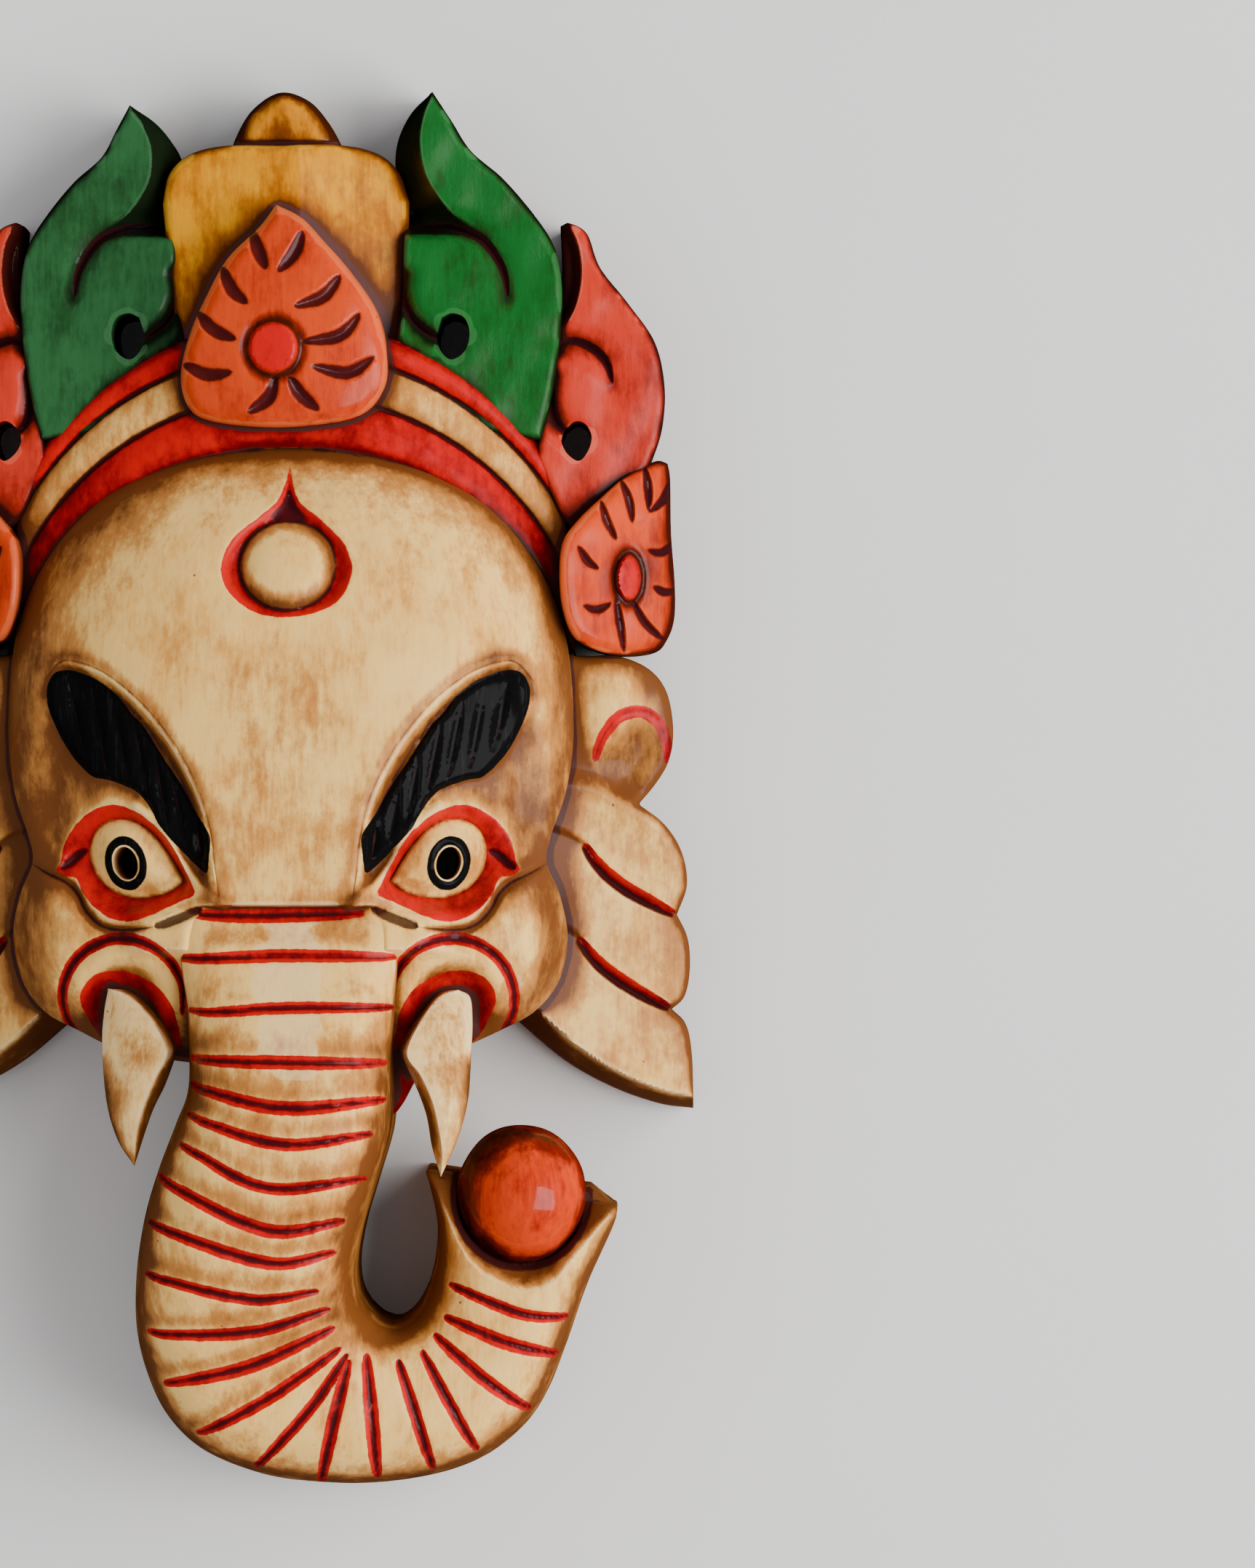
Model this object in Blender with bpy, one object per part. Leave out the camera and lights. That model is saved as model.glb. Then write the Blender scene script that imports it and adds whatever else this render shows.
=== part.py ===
"""Carved wooden mask of an elephant-headed god, lying on its flat back with the face up.

Metres, +Z up. The crown points to +Y and the trunk to -Y. The origin is on the flat back,
under the middle of the mask's outline.

One block of wood is carved into a domed face, a crown of leaves over a striped band, two ears,
two tusks and a ringed trunk that curls up to hold a ball. The back is hollowed behind the face.
The carving is written in shares: 330 of them make the mask's height, and RELIEF_SHARES its depth.
"""

import math

import bmesh
import bpy
import numpy as np
from mathutils import Vector
from mathutils.geometry import delaunay_2d_cdt

# Driving dimensions
MASK_HEIGHT = 0.330
MASK_DEPTH = 0.080
HOLLOW_WIDTH = 0.106
HOLLOW_LENGTH = 0.130
HOLLOW_DEPTH = 0.049
EYE_HOLE_WIDTH = 0.0054
EYE_HOLE_HEIGHT = 0.0088
CROWN_HOLE_WIDTH = 0.0072
CROWN_HOLE_HEIGHT = 0.0112
BALL_RADIUS = 0.0146
BALL_SEAT_CLEARANCE = 0.0030
GROOVE_WIDTH = 0.0030
GROOVE_DEPTH = 0.0014

# The carver's shares
HEIGHT_SHARES = 330.0
RELIEF_SHARES = 80.0
SHARE = MASK_HEIGHT / HEIGHT_SHARES
RISE = MASK_DEPTH / RELIEF_SHARES

# Facets, in shares
COARSE = 7.5
MEDIUM = 4.2
FINE = 2.5
SKIRT = 5.0

WOOD_COLOUR = (0.62, 0.42, 0.19, 1.0)


def smoothstep(value):
    """0 below 0, 1 above 1 and a smooth rise between."""
    t = np.clip(value, 0.0, 1.0)
    return t * t * (3.0 - 2.0 * t)


def curve_through(points, step):
    """Points about one step apart on a smooth curve through the given ones."""
    points = np.array(points, float)
    before = 2 * points[0] - points[1]
    after = 2 * points[-1] - points[-2]
    padded = np.vstack([before, points, after])
    made = []
    for p0, p1, p2, p3 in zip(padded, padded[1:], padded[2:], padded[3:]):
        count = max(1, math.ceil(np.linalg.norm((p2 - p1)[:2]) / step))
        for t in np.arange(count) / count:
            made.append(
                0.5 * (2 * p1 + (p2 - p0) * t + (2 * p0 - 5 * p1 + 4 * p2 - p3) * t**2
                       + (3 * p1 - p0 - 3 * p2 + p3) * t**3)
            )
    return np.array(made + [points[-1]])


def outline(runs, step):
    """A closed loop of smooth runs that meet at corners."""
    return np.vstack([curve_through(run, step)[:-1] for run in runs])


def mirrored(runs):
    """The same runs on the mask's other side."""
    return [[(-point[0], *point[1:]) for point in reversed(run)] for run in reversed(runs)]


def leaning(runs, foot, reach, lean):
    """Runs whose points move sideways the more the higher they lie above the foot."""
    return [[(x + lean * max(0.0, (y - foot) / reach) ** 2, y) for x, y in run] for run in runs]


def distance_to(line, x, y, closed=False):
    """Distance from each point to a line of segments."""
    ends = np.vstack([line, line[:1]]) if closed else line
    nearest = np.full(x.shape, 1e9)
    for (ax, ay), (bx, by) in zip(ends[:-1], ends[1:]):
        dx, dy = bx - ax, by - ay
        along = np.clip(((x - ax) * dx + (y - ay) * dy) / (dx * dx + dy * dy + 1e-12), 0, 1)
        nearest = np.minimum(nearest, np.hypot(x - ax - along * dx, y - ay - along * dy))
    return nearest


def inside(loop, x, y):
    """True for each point inside a closed loop."""
    found = np.zeros(x.shape, bool)
    for (ax, ay), (bx, by) in zip(loop, np.roll(loop, -1, axis=0)):
        crosses = (ay > y) != (by > y)
        rise = np.where(by == ay, 1e-12, by - ay)
        found ^= crosses & (x < (bx - ax) * (y - ay) / rise + ax)
    return found


def signed_distance(loop, x, y):
    """Distance to a closed loop, above zero inside it and below zero outside."""
    return distance_to(loop, x, y, closed=True) * np.where(inside(loop, x, y), 1, -1)


def beside(line, offset):
    """The line moved sideways, to the left of its own direction."""
    along = np.gradient(line, axis=0)
    across = np.stack([-along[:, 1], along[:, 0]], 1)
    return line + offset * across / (np.linalg.norm(across, axis=1)[:, None] + 1e-9)


def rounded_edge(depth_inside, radius):
    """How far a rounded edge lies under the flat, from the distance inside the outline."""
    reach = np.clip(depth_inside / radius, 0, 1)
    return radius * (1 - np.sqrt(1 - (1 - reach) ** 2))


# Carved strokes

class Stroke:
    """A tapering gouge cut along a smooth line, its width and depth in shares."""

    def __init__(self, points, width=1.0, depth=1.0):
        self.line = curve_through(points, MEDIUM)
        self.half = width * GROOVE_WIDTH / SHARE / 2
        self.depth = depth * GROOVE_DEPTH / RISE

    def edges(self):
        """The stroke's middle and its two edges, which meet at both ends."""
        along = np.gradient(self.line, axis=0)
        across = np.stack([-along[:, 1], along[:, 0]], 1)
        across /= np.linalg.norm(across, axis=1)[:, None] + 1e-9
        swell = np.sin(np.linspace(0, math.pi, len(self.line)))[:, None] ** 0.5
        left, right = (self.line + side * self.half * swell * across for side in (1, -1))
        return [self.line] if len(self.line) < 3 else [left, self.line, right]

    def cut(self, x, y):
        """The depth of the cut at each point."""
        start, end = self.line[0], self.line[-1]
        tip = np.minimum(np.hypot(x - start[0], y - start[1]), np.hypot(x - end[0], y - end[1]))
        taper = np.clip(tip / (3 * self.half), 0, 1)
        return self.depth * taper * np.clip(1 - distance_to(self.line, x, y) / self.half, 0, 1)


def cut_by(strokes, x, y):
    """The deepest of the strokes at each point."""
    cuts = [stroke.cut(x, y) for stroke in strokes]
    return np.max(cuts, axis=0) if cuts else np.zeros(x.shape)


# Relief carving

def grid_points(low, high, spacing):
    """Points of a triangular grid over a box."""
    rows = np.arange(low[1], high[1], spacing * math.sqrt(3) / 2)
    columns = np.arange(low[0], high[0], spacing)
    x = np.concatenate([columns + spacing / 2 * (i % 2) for i in range(len(rows))])
    return x, np.repeat(rows, len(columns))


def relief(name, loop, height, strokes=(), spacing=COARSE, fine_zones=(), lines=()):
    """A solid under a carved surface: height(x, y) inside the loop, walls, and a flat back below zero.

    A fine zone is (x, y, half width, half height, spacing), an ellipse where the facets are smaller.
    """
    cuts = [edge for stroke in strokes for edge in stroke.edges()] + list(lines)
    low, high = loop.min(0), loop.max(0)
    x, y = grid_points(low, high, spacing)
    keep = distance_to(loop, x, y, closed=True) > 0.55 * spacing
    sets = []
    for cx, cy, half_width, half_height, zone_spacing in fine_zones:
        keep &= np.hypot((x - cx) / half_width, (y - cy) / half_height) > 1
        zx, zy = grid_points((cx - half_width, cy - half_height), (cx + half_width, cy + half_height),
                             zone_spacing)
        zone = np.hypot((zx - cx) / half_width, (zy - cy) / half_height) < 1
        zone &= distance_to(loop, zx, zy, closed=True) > 0.55 * zone_spacing
        for cut in cuts:
            zone &= distance_to(cut, zx, zy) > 0.4 * zone_spacing
        sets.append(np.stack([zx, zy], 1)[zone])
    for cut in cuts:
        keep &= distance_to(cut, x, y) > 0.45 * spacing
    sets.append(np.stack([x, y], 1)[keep])
    points = list(loop)
    edges = [(i, (i + 1) % len(loop)) for i in range(len(loop))]
    for cut in cuts:
        edges += [(len(points) + i, len(points) + i + 1) for i in range(len(cut) - 1)]
        points += list(cut)
    grid = np.vstack(sets)
    points += list(grid[inside(loop, grid[:, 0], grid[:, 1])])
    flat, _, faces, *_ = delaunay_2d_cdt([Vector(p) for p in points], edges, [], 0, 1e-4)
    flat = np.array([tuple(p) for p in flat])
    centres = np.array([flat[list(face)].mean(0) for face in faces])
    kept = inside(loop, centres[:, 0], centres[:, 1])
    z = height(flat[:, 0], flat[:, 1]) - cut_by(strokes, flat[:, 0], flat[:, 1])
    return solid_under(name, flat, z, [face for face, keep_it in zip(faces, kept) if keep_it])


def solid_under(name, flat, z, faces):
    """The carved surface with its walls extruded down to a flat back."""
    mesh = bmesh.new()
    used = sorted({i for face in faces for i in face})
    verts = {i: mesh.verts.new((flat[i][0] * SHARE, flat[i][1] * SHARE, z[i] * RISE)) for i in used}
    for face in faces:
        mesh.faces.new([verts[i] for i in face])
    rim = [edge for edge in mesh.edges if edge.is_boundary]
    walls = bmesh.ops.extrude_edge_only(mesh, edges=rim)["geom"]
    back = -(SKIRT + 0.3 * len(bpy.data.objects)) * RISE
    for vert in walls:
        if isinstance(vert, bmesh.types.BMVert):
            vert.co.z = back
    bmesh.ops.holes_fill(mesh, edges=[edge for edge in mesh.edges if edge.is_boundary])
    return finished(name, mesh)


def finished(name, mesh):
    """An object made of the mesh, with its faces pointing out."""
    bmesh.ops.recalc_face_normals(mesh, faces=mesh.faces)
    data = bpy.data.meshes.new(name)
    mesh.to_mesh(data)
    mesh.free()
    return bpy.data.objects.new(name, data)


# The face

FACE = [[(0, 81), (24, 79.5), (44.5, 68), (58, 53), (65, 36), (67, 15), (65.5, 0), (61.5, -12), (61, -18),
         (63.8, -26), (65.6, -36), (63.6, -46), (58, -53), (50, -57.5), (40, -62), (22, -65), (0, -65.5)]]
BROW_RIDGE = [(60, 26), (52, 28.8), (42.5, 25.5), (31.8, 16.5), (24.4, 5.5), (20.3, -6), (18, -18), (15, -29)]
SOCKET_FLOOR = [(15, -29), (28, -34), (42, -35), (54, -30), (62, -18), (66, 2), (60, 26)]
BROW = [[(18.8, -20), (19, -10), (22, -1.5), (27.5, 6.5), (34.5, 16), (41.9, 23.2), (50, 27), (55.4, 26), (57.2, 21),
         (54.6, 13.6), (49.5, 7.7), (42.8, 4), (37.3, 0.6), (32.5, -5.8), (27, -12.3), (18.8, -20)]]
EYE = [[(21, -27.5), (26.2, -18), (31.8, -10.8), (38.2, -8), (44.5, -10), (49, -14.5), (52.6, -20)],
       [(52.6, -20), (49.5, -25), (43, -29.5), (35.5, -31), (28, -30), (21, -27.5)]]
DROP = [[(0.5, 76), (1.8, 70), (4, 65), (9.8, 61), (14.2, 55.5), (15, 49), (11.5, 43), (5, 40), (-1.5, 39.4),
         (-8, 41), (-13.6, 46), (-15, 52), (-12, 58.5), (-6, 63), (-2.4, 67), (-0.6, 71), (0.5, 76)]]
BEAD = (0.2, 50.6, 10.6)
PUPIL = (38.0, -17.6)
LID = 1.0
SOCKET = (38.6, -50.0)


def face_dome(x, y):
    """The bare dome of the face, before the features are cut in."""
    upper = np.where(y > 16, 67.0, 103.0)
    fall = (np.abs(x) / 67.5) ** 2.3 + (np.abs(y - 16) / upper) ** 2.3
    return 27 + 36 * np.clip(1 - fall, 0, 1) ** 0.55


def face_height(x, y):
    """The carved face: brows, eyes, cheeks, tusk sockets and the drop on the forehead."""
    side = np.abs(x)
    ridge = curve_through(BROW_RIDGE, FINE)
    floor = curve_through(SOCKET_FLOOR, FINE)
    zone = np.vstack([ridge, floor[1:-1]])
    brow, eye, drop = (outline(runs, FINE) for runs in (BROW, EYE, DROP))
    z = face_dome(x, y)
    hollow = smoothstep(distance_to(ridge, side, y) / 2.8) * smoothstep(distance_to(floor, side, y) / 13)
    z = z - 5.5 * hollow * inside(zone, side, y)
    z = z + 2.4 * smoothstep(signed_distance(brow, side, y) / 1.6)
    in_eye = signed_distance(eye, side, y)
    lid = np.interp(-in_eye, (0, LID, 5 * LID), (-0.8, 1.8, 0))
    ball = -0.8 + 5.0 * np.sqrt(np.clip(in_eye / 9.5, 0, 1))
    z = z + np.where(in_eye > 0, ball, lid)
    z = z + 4.5 * np.exp(-(((side - 52) / 12) ** 2) - ((y + 41) / 13) ** 2)
    ring = np.hypot((side - SOCKET[0]) / 11.5, (y - SOCKET[1]) / 11.0)
    z = z + 2.6 * np.exp(-(((ring - 0.95) / 0.28) ** 2)) * smoothstep((y + 62) / 10)
    in_drop = inside(drop, x, y)
    z = z - 2.6 * smoothstep(distance_to(drop, x, y, closed=True) / 2.6) * in_drop
    from_bead = np.hypot(x - BEAD[0], y - BEAD[1]) / BEAD[2]
    return z + 3.4 * np.sqrt(np.clip(1 - from_bead**2, 0, 1))


def face():
    """The face as one domed relief."""
    loop = outline(FACE + mirrored(FACE), COARSE * 0.8)
    eye, brow, drop = (np.vstack([closed, closed[:1]]) for closed in
                       (outline(runs, FINE) for runs in (EYE, BROW, DROP)))
    ridge = curve_through(BROW_RIDGE, MEDIUM)[1:-1]
    lid = beside(eye, LID)
    lid[-1] = lid[0]
    features = [drop]
    for turned in (1, -1):
        features += [line * (turned, 1) for line in (eye, lid, brow, ridge, beside(ridge, -2.8)[1:-1])]
    rim = np.linspace(0, 2 * math.pi, 19)
    features.append(np.stack([BEAD[0] + BEAD[2] * np.cos(rim), BEAD[1] + BEAD[2] * np.sin(rim)], 1))
    zones = [(BEAD[0], BEAD[1], 9, 9, FINE * 1.4)]
    for turned in (1, -1):
        zones.append((38 * turned, -17, 21, 17, FINE))
        zones.append((39 * turned, 14, 20, 20, MEDIUM * 1.2))
        zones.append((SOCKET[0] * turned, -48, 17, 15, FINE * 1.5))
    return relief("face", loop, face_height, spacing=COARSE, fine_zones=zones, lines=features)


# The ears

EAR_TOP = [(58, 34), (67.8, 31), (76.5, 31.2), (84.4, 28.3), (89, 22.8), (90.7, 14), (89.8, 6.6), (86.8, 1),
           (82.5, -4.2)]
EAR_MIDDLE = [(82.5, -4.2), (88.6, -9), (92.7, -15.5), (94, -23.4), (91.6, -30.6)]
EAR_LOWER = [(91.6, -30.6), (94.2, -36.3), (94.7, -43.7), (93.4, -50.1), (90.3, -53.2)]
EAR_TIP = [(90.3, -53.2), (93.8, -57), (95.2, -64), (95.6, -77.2)]
EAR_FOOT = [(95.6, -77.2), (87.2, -76), (76, -72), (64.5, -65.5), (52, -55)]
EAR_ROOT = [(52, -55), (55, -10), (58, 34)]
EAR_FOLDS = [[(67.6, -12.6), (72.5, -20), (80, -26), (91.6, -30.6)], [(66.8, -34.8), (72.5, -42), (80, -48.4),
             (90.3, -53.2)]]
EAR_LOBE = [(66, 1), (72, -0.5), (77, -2.5), (82.5, -4.2)]
EAR_CURL = [(71.5, 8), (76, 15), (82.5, 18), (88.5, 15), (90, 9)]


def ear_height(x, y):
    """A leaf-like ear that slopes back from the head, in three overlapping folds."""
    side = np.abs(x)
    loop = outline([EAR_TOP, EAR_MIDDLE, EAR_LOWER, EAR_TIP, EAR_FOOT, EAR_ROOT], MEDIUM)
    foot = curve_through(EAR_FOOT, MEDIUM)
    z = 27 - 0.22 * (side - 65) + 1.5 * np.sin((y + 20) / 30)
    z = z + 4.0 * np.exp(-(((side - 76) / 10) ** 2) - ((y - 18) / 13) ** 2)
    z = z - 3.4 * np.exp(-(((side - 80) / 7) ** 2) - ((y - 3) / 7) ** 2)
    for fold in EAR_FOLDS + [EAR_LOBE]:
        line = curve_through(fold, MEDIUM)
        below = np.interp(side, line[:, 0], line[:, 1]) - y
        z = z - 2.4 * np.exp(-np.clip(below, 0, None) / 7) * (below > 0)
    z = z - rounded_edge(distance_to(loop, side, y, closed=True), 2.6)
    return np.minimum(z, 5 + distance_to(foot, side, y) * 3.6)


def ear(name, turned):
    """One ear, to the right or to the left."""
    runs = [EAR_TOP, EAR_MIDDLE, EAR_LOWER, EAR_TIP, EAR_FOOT, EAR_ROOT]
    loop = outline(runs if turned > 0 else mirrored(runs), MEDIUM)
    strokes = [Stroke([(x * turned, y) for x, y in line], 1.1, 1.2) for line in EAR_FOLDS + [EAR_CURL]]
    crest = curve_through([(96.6, -71), (87, -70.4), (77, -67), (66, -60.5), (56, -53)], MEDIUM)[1:-1]
    return relief(name, loop, ear_height, strokes, spacing=COARSE, lines=[crest * (turned, 1)])


# The crown

BACKING = [(0, 149), (23, 146), (31, 151), (46, 140), (60, 124), (70, 122), (82, 104), (85, 86), (86, 60), (84, 36),
           (84, 10), (82, -8), (86, -24), (86, -46), (70, -58), (40, -50), (0, -56)]
BAND_OUTER = (34.2, 75.6)
BAND_INNER = (9.4, 70.6)
BAND_END = 0.92
BAND_GROOVES = (0.25, 0.63)

CREST = [[(0, 151.8), (12, 152), (20.5, 150.2), (25.5, 145.6), (27.7, 139)],
         [(27.7, 139), (27, 128), (25.6, 113), (23, 97), (0, 97)]]
CAP = [[(-14.6, 149), (-13.6, 153.5), (-9.5, 160.6), (-2.8, 164.9), (4, 163), (8.8, 157.8), (12, 152), (12.6, 149)],
       [(12.6, 149), (-14.6, 149)]]
GREEN_LEAF = [[(33.6, 164.6), (38.2, 157.8), (43, 150.8), (50.2, 144.3), (57.6, 135.8), (62.6, 128), (64.5, 118.8),
               (64, 106), (62, 93), (59.5, 82)],
              [(59.5, 82), (45, 84), (30, 92), (24, 100)],
              [(24, 100), (26.6, 111.4), (27.2, 121), (27.2, 133.6)],
              [(27.2, 133.6), (24.6, 141), (24.8, 150.2), (28.1, 160.4), (33.6, 164.6)]]
GREEN_SCROLL = [(27.5, 131), (33, 133), (40.8, 131), (45.6, 127), (49, 123), (51.4, 117)]
GREEN_TAIL = [(26.8, 115.5), (29.6, 109.8), (34.6, 105.8)]
GREEN_HOLE = (38.6, 106.6)
GREEN_RIDGE = [(33.6, 163.5), (31, 155), (30.6, 148), (32, 141), (36, 137)]
RED_LEAF = [[(66.5, 133.6), (70.4, 131.2), (73.5, 123.4), (79.8, 115.1), (86, 106), (88.7, 95.7), (88.2, 85.6),
             (85, 76)],
            [(85, 76), (76, 66), (66, 62), (58, 78)],
            [(58, 78), (61, 93), (63, 106), (64, 122), (64.4, 131), (66.5, 133.6)]]
RED_SCROLL = [(63.8, 108), (69, 109.6), (74, 108), (78, 104), (80.4, 99.5)]
RED_TAIL = [(62, 88), (64.5, 84.5)]
RED_HOLE = (68.0, 82.0)
SIDE_FLOWER = [[(88.6, 77.6), (90.6, 73.5), (90.6, 58), (91.2, 42), (89.3, 35.4), (85.7, 31), (77.9, 31), (69.6, 34.6),
                (65.6, 41.3), (64.2, 49.6), (66, 58.5), (71.5, 66.5), (79.8, 72.8), (88.6, 77.6)]]
FLOWER = [[(-3, 137), (-9, 131), (-15.5, 123.2), (-20.6, 113.8), (-24.6, 103.5), (-25.6, 95), (-22.5, 88.4),
           (-15.5, 85.2), (-4, 84.2), (8.5, 84.8), (17.8, 87.6), (22.8, 93.4), (23.2, 101.5), (20.4, 112.6),
           (14.4, 122.4), (7.5, 130.2), (1, 135.6), (-3, 137)]]
FLOWER_BUTTON = (-3.7, 103.5)
SIDE_BUTTON = (79.6, 49.4)


def backing():
    """The board behind the crown and the ears that closes the clefts between them."""
    loop = outline([BACKING, *mirrored([BACKING])], COARSE * 1.5)
    loop = loop[np.r_[True, np.hypot(*np.diff(loop, axis=0).T) > 0.5]]
    return relief("backing", loop, lambda x, y: np.full(x.shape, 16.0), spacing=COARSE * 4)


def band_edges(step):
    """The band's outer and inner edges, from its right end to its left."""
    edges = []
    for (centre, radius), reach in ((BAND_OUTER, BAND_END), (BAND_INNER, 1.0)):
        half = reach * math.asin(min(1.0, 67.5 / radius))
        angles = np.linspace(math.pi / 2 - half, math.pi / 2 + half, 2 + int(2 * half * radius / step))
        edges.append(np.stack([radius * np.cos(angles), centre + radius * np.sin(angles)], 1))
    return edges


def band_share(x, y):
    """0 at the band's outer edge and 1 at its inner one."""
    outer = BAND_OUTER[1] - np.hypot(x, y - BAND_OUTER[0])
    inner = np.hypot(x, y - BAND_INNER[0]) - BAND_INNER[1]
    return outer / np.maximum(outer + inner, 1e-6)


def band_height(x, y):
    """A flat hoop in three strips, which slopes back to its ends."""
    share = band_share(x, y)
    z = 41 - 15.5 * (np.abs(x) / 68) ** 2 - 3.0 * np.abs(2 * np.clip(share, 0, 1) - 1) ** 4
    for groove in BAND_GROOVES:
        z = z - 1.3 * np.clip(1 - np.abs(share - groove) / 0.07, 0, 1)
    return z


def band():
    """The hoop across the forehead, with its two grooves."""
    outer, inner = band_edges(COARSE * 0.8)
    grooves = []
    for share in BAND_GROOVES:
        for offset in (-0.07, 0, 0.07):
            mix = share + offset
            count = min(len(outer), len(inner))
            picks_outer = np.linspace(0, len(outer) - 1, count)
            picks_inner = np.linspace(0, len(inner) - 1, count)
            a, b = (np.stack([np.interp(picks, np.arange(len(edge)), edge[:, axis]) for axis in (0, 1)], 1)
                    for picks, edge in ((picks_outer, outer), (picks_inner, inner)))
            grooves.append((a * (1 - mix) + b * mix)[1:-1])
    return relief("band", np.vstack([outer, inner[::-1]]), band_height, lines=grooves)


def plain_height(top, slope, centre, radius, loop):
    """A height that slopes away from a centre, with rounded edges."""
    def height(x, y):
        z = top - slope * np.abs(np.abs(x) - centre)
        return z - rounded_edge(distance_to(loop, x, y, closed=True), radius)
    return height


def crest():
    """The tall plate in the middle of the crown."""
    loop = outline([CREST[0], CREST[1], *mirrored(CREST)], MEDIUM * 1.2)
    loop = loop[np.r_[True, np.hypot(*np.diff(loop, axis=0).T) > 0.5]]
    return relief("crest", loop, plain_height(35, 0.08, 0, 3.0, loop))


def cap():
    """The half-round knob on the crest."""
    loop = outline(CAP, MEDIUM)
    return relief("cap", loop, plain_height(31, 0.15, 0, 5.0, loop), spacing=MEDIUM * 1.2)


def leaf_height(loop, top, slope, inner, strokes):
    """A crown leaf: it slopes outwards, and its scroll swells between the gouges."""
    def height(x, y):
        side = np.abs(x)
        z = top - slope * (side - inner) + 1.0 * np.sin((y - 80) / 11)
        for stroke in strokes:
            z = z - 2.2 * np.exp(-((distance_to(stroke, side, y) / 3.4) ** 2))
        return z - rounded_edge(distance_to(loop, x, y, closed=True), 2.2)
    return height


def leaf(name, runs, scroll, tail, sizes, turned, lean=0.0):
    """A crown leaf with its scroll gouge, on one side of the crown."""
    top, slope, inner = sizes
    shaped = leaning(runs, 120, 44, lean)
    loop = outline(shaped if turned > 0 else mirrored(shaped), MEDIUM * 1.2)
    lines = [curve_through(line, MEDIUM) for line in (scroll, tail)]
    strokes = [Stroke([(x * turned, y) for x, y in line], 1.2, 1.6) for line in (scroll, tail)]
    return relief(name, loop, leaf_height(loop, top, slope, inner, lines), strokes)


def petals(centre, across, tall, reach, turned=1):
    """Ten gouges that fan out from a flower's button."""
    strokes = []
    for angle, near, far in ((62, 0.62, 0.92), (28, 0.5, 0.9), (2, 0.38, 0.86), (-22, 0.4, 0.86), (-62, 0.4, 0.8)):
        for side in (1, -1):
            turn = math.radians(angle)
            points = []
            for share, bend in ((near, 0.0), ((near + far) / 2, -0.05), (far, 0.02)):
                length = reach * share * (1.5 if angle > 50 else 1.0)
                points.append((centre[0] * turned + side * across * length * math.cos(turn + bend),
                               centre[1] + tall * length * math.sin(turn + bend)))
            strokes.append(Stroke(points, 1.0, 1.0))
    return strokes


def flower():
    """The big lotus bud in front of the crown."""
    loop = outline(FLOWER, MEDIUM)

    def height(x, y):
        edge = distance_to(loop, x, y, closed=True)
        z = 46 + 3.2 * np.clip(1 - np.hypot((x + 2) / 24, (y - 106) / 30) ** 2, 0, 1)
        button = np.hypot(x - FLOWER_BUTTON[0], y - FLOWER_BUTTON[1])
        return z - rounded_edge(edge, 4.0) + 1.8 * smoothstep((6.6 - button) / 1.4)

    bx, by = FLOWER_BUTTON
    zones = [(bx, by, 8.5, 8.5, FINE)]
    return relief("flower", loop, height, petals((bx, by), 1.0, 1.0, 21), spacing=COARSE * 0.8, fine_zones=zones)


def side_flower(name, turned):
    """A smaller bud at the end of the band, turned outwards."""
    loop = outline(SIDE_FLOWER if turned > 0 else mirrored(SIDE_FLOWER), MEDIUM)

    def height(x, y):
        side = np.abs(x)
        z = 40.5 - 0.72 * (side - 66) - 0.02 * (y - 54) ** 2 / 10
        button = np.hypot((side - SIDE_BUTTON[0]) / 0.7, y - SIDE_BUTTON[1])
        edge = np.minimum(distance_to(loop, x, y, closed=True), 3.0)
        return z - rounded_edge(edge, 3.0) + 1.6 * smoothstep((5.6 - button) / 1.4)

    bx, by = SIDE_BUTTON
    zones = [(bx * turned, by, 6, 7.5, FINE)]
    strokes = petals((bx, by), 0.58, 1.0, 18, turned)
    return relief(name, loop, height, strokes, spacing=COARSE * 0.8, fine_zones=zones)


# The trunk

# Each station: left edge x, y, right edge x, y, top height, underside height, how far its ring sags down the trunk.
TRUNK = [
    (-23.4, -29.8, 24.0, -29.8, 61, 47, 0.0), (-23.6, -51.6, 25.0, -51.6, 70, 38, 0.0),
    (-24.4, -70.0, 25.0, -71.5, 77, 12, 2.6), (-28.0, -83.6, 22.6, -88.5, 80, -2, 6.6),
    (-34.0, -101.5, 16.8, -108.0, 77, -6, 6.0), (-35.8, -126.6, 17.2, -119.2, 69, -6, 2.2),
    (-27.8, -150.4, 20.0, -124.6, 60, -6, 1.6), (6.2, -163.9, 23.4, -126.6, 54, -6, 0.6),
    (34.0, -162.4, 27.0, -126.4, 51, -6, 0.0), (58.6, -148.0, 31.6, -121.4, 50, -6, 0.4),
    (69.0, -122.0, 34.4, -112.0, 50, -6, 2.6), (77.4, -100.9, 32.0, -91.7, 47, -6, 3.0),
]
RINGS = 21
RING_REACH = 0.86
BALL = (55.6, -96.4, 37.0)


def trunk_station(at):
    """The trunk's values at a place along it, counted in stations."""
    table = np.array(TRUNK)
    first = min(int(at), len(table) - 2)
    rows = [table[min(max(first + k, 0), len(table) - 1)] for k in (-1, 0, 1, 2)]
    t = at - first
    p0, p1, p2, p3 = rows
    return 0.5 * (2 * p1 + (p2 - p0) * t + (2 * p0 - 5 * p1 + 4 * p2 - p3) * t**2 + (3 * p1 - p0 - 3 * p2 + p3) * t**3)


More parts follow.
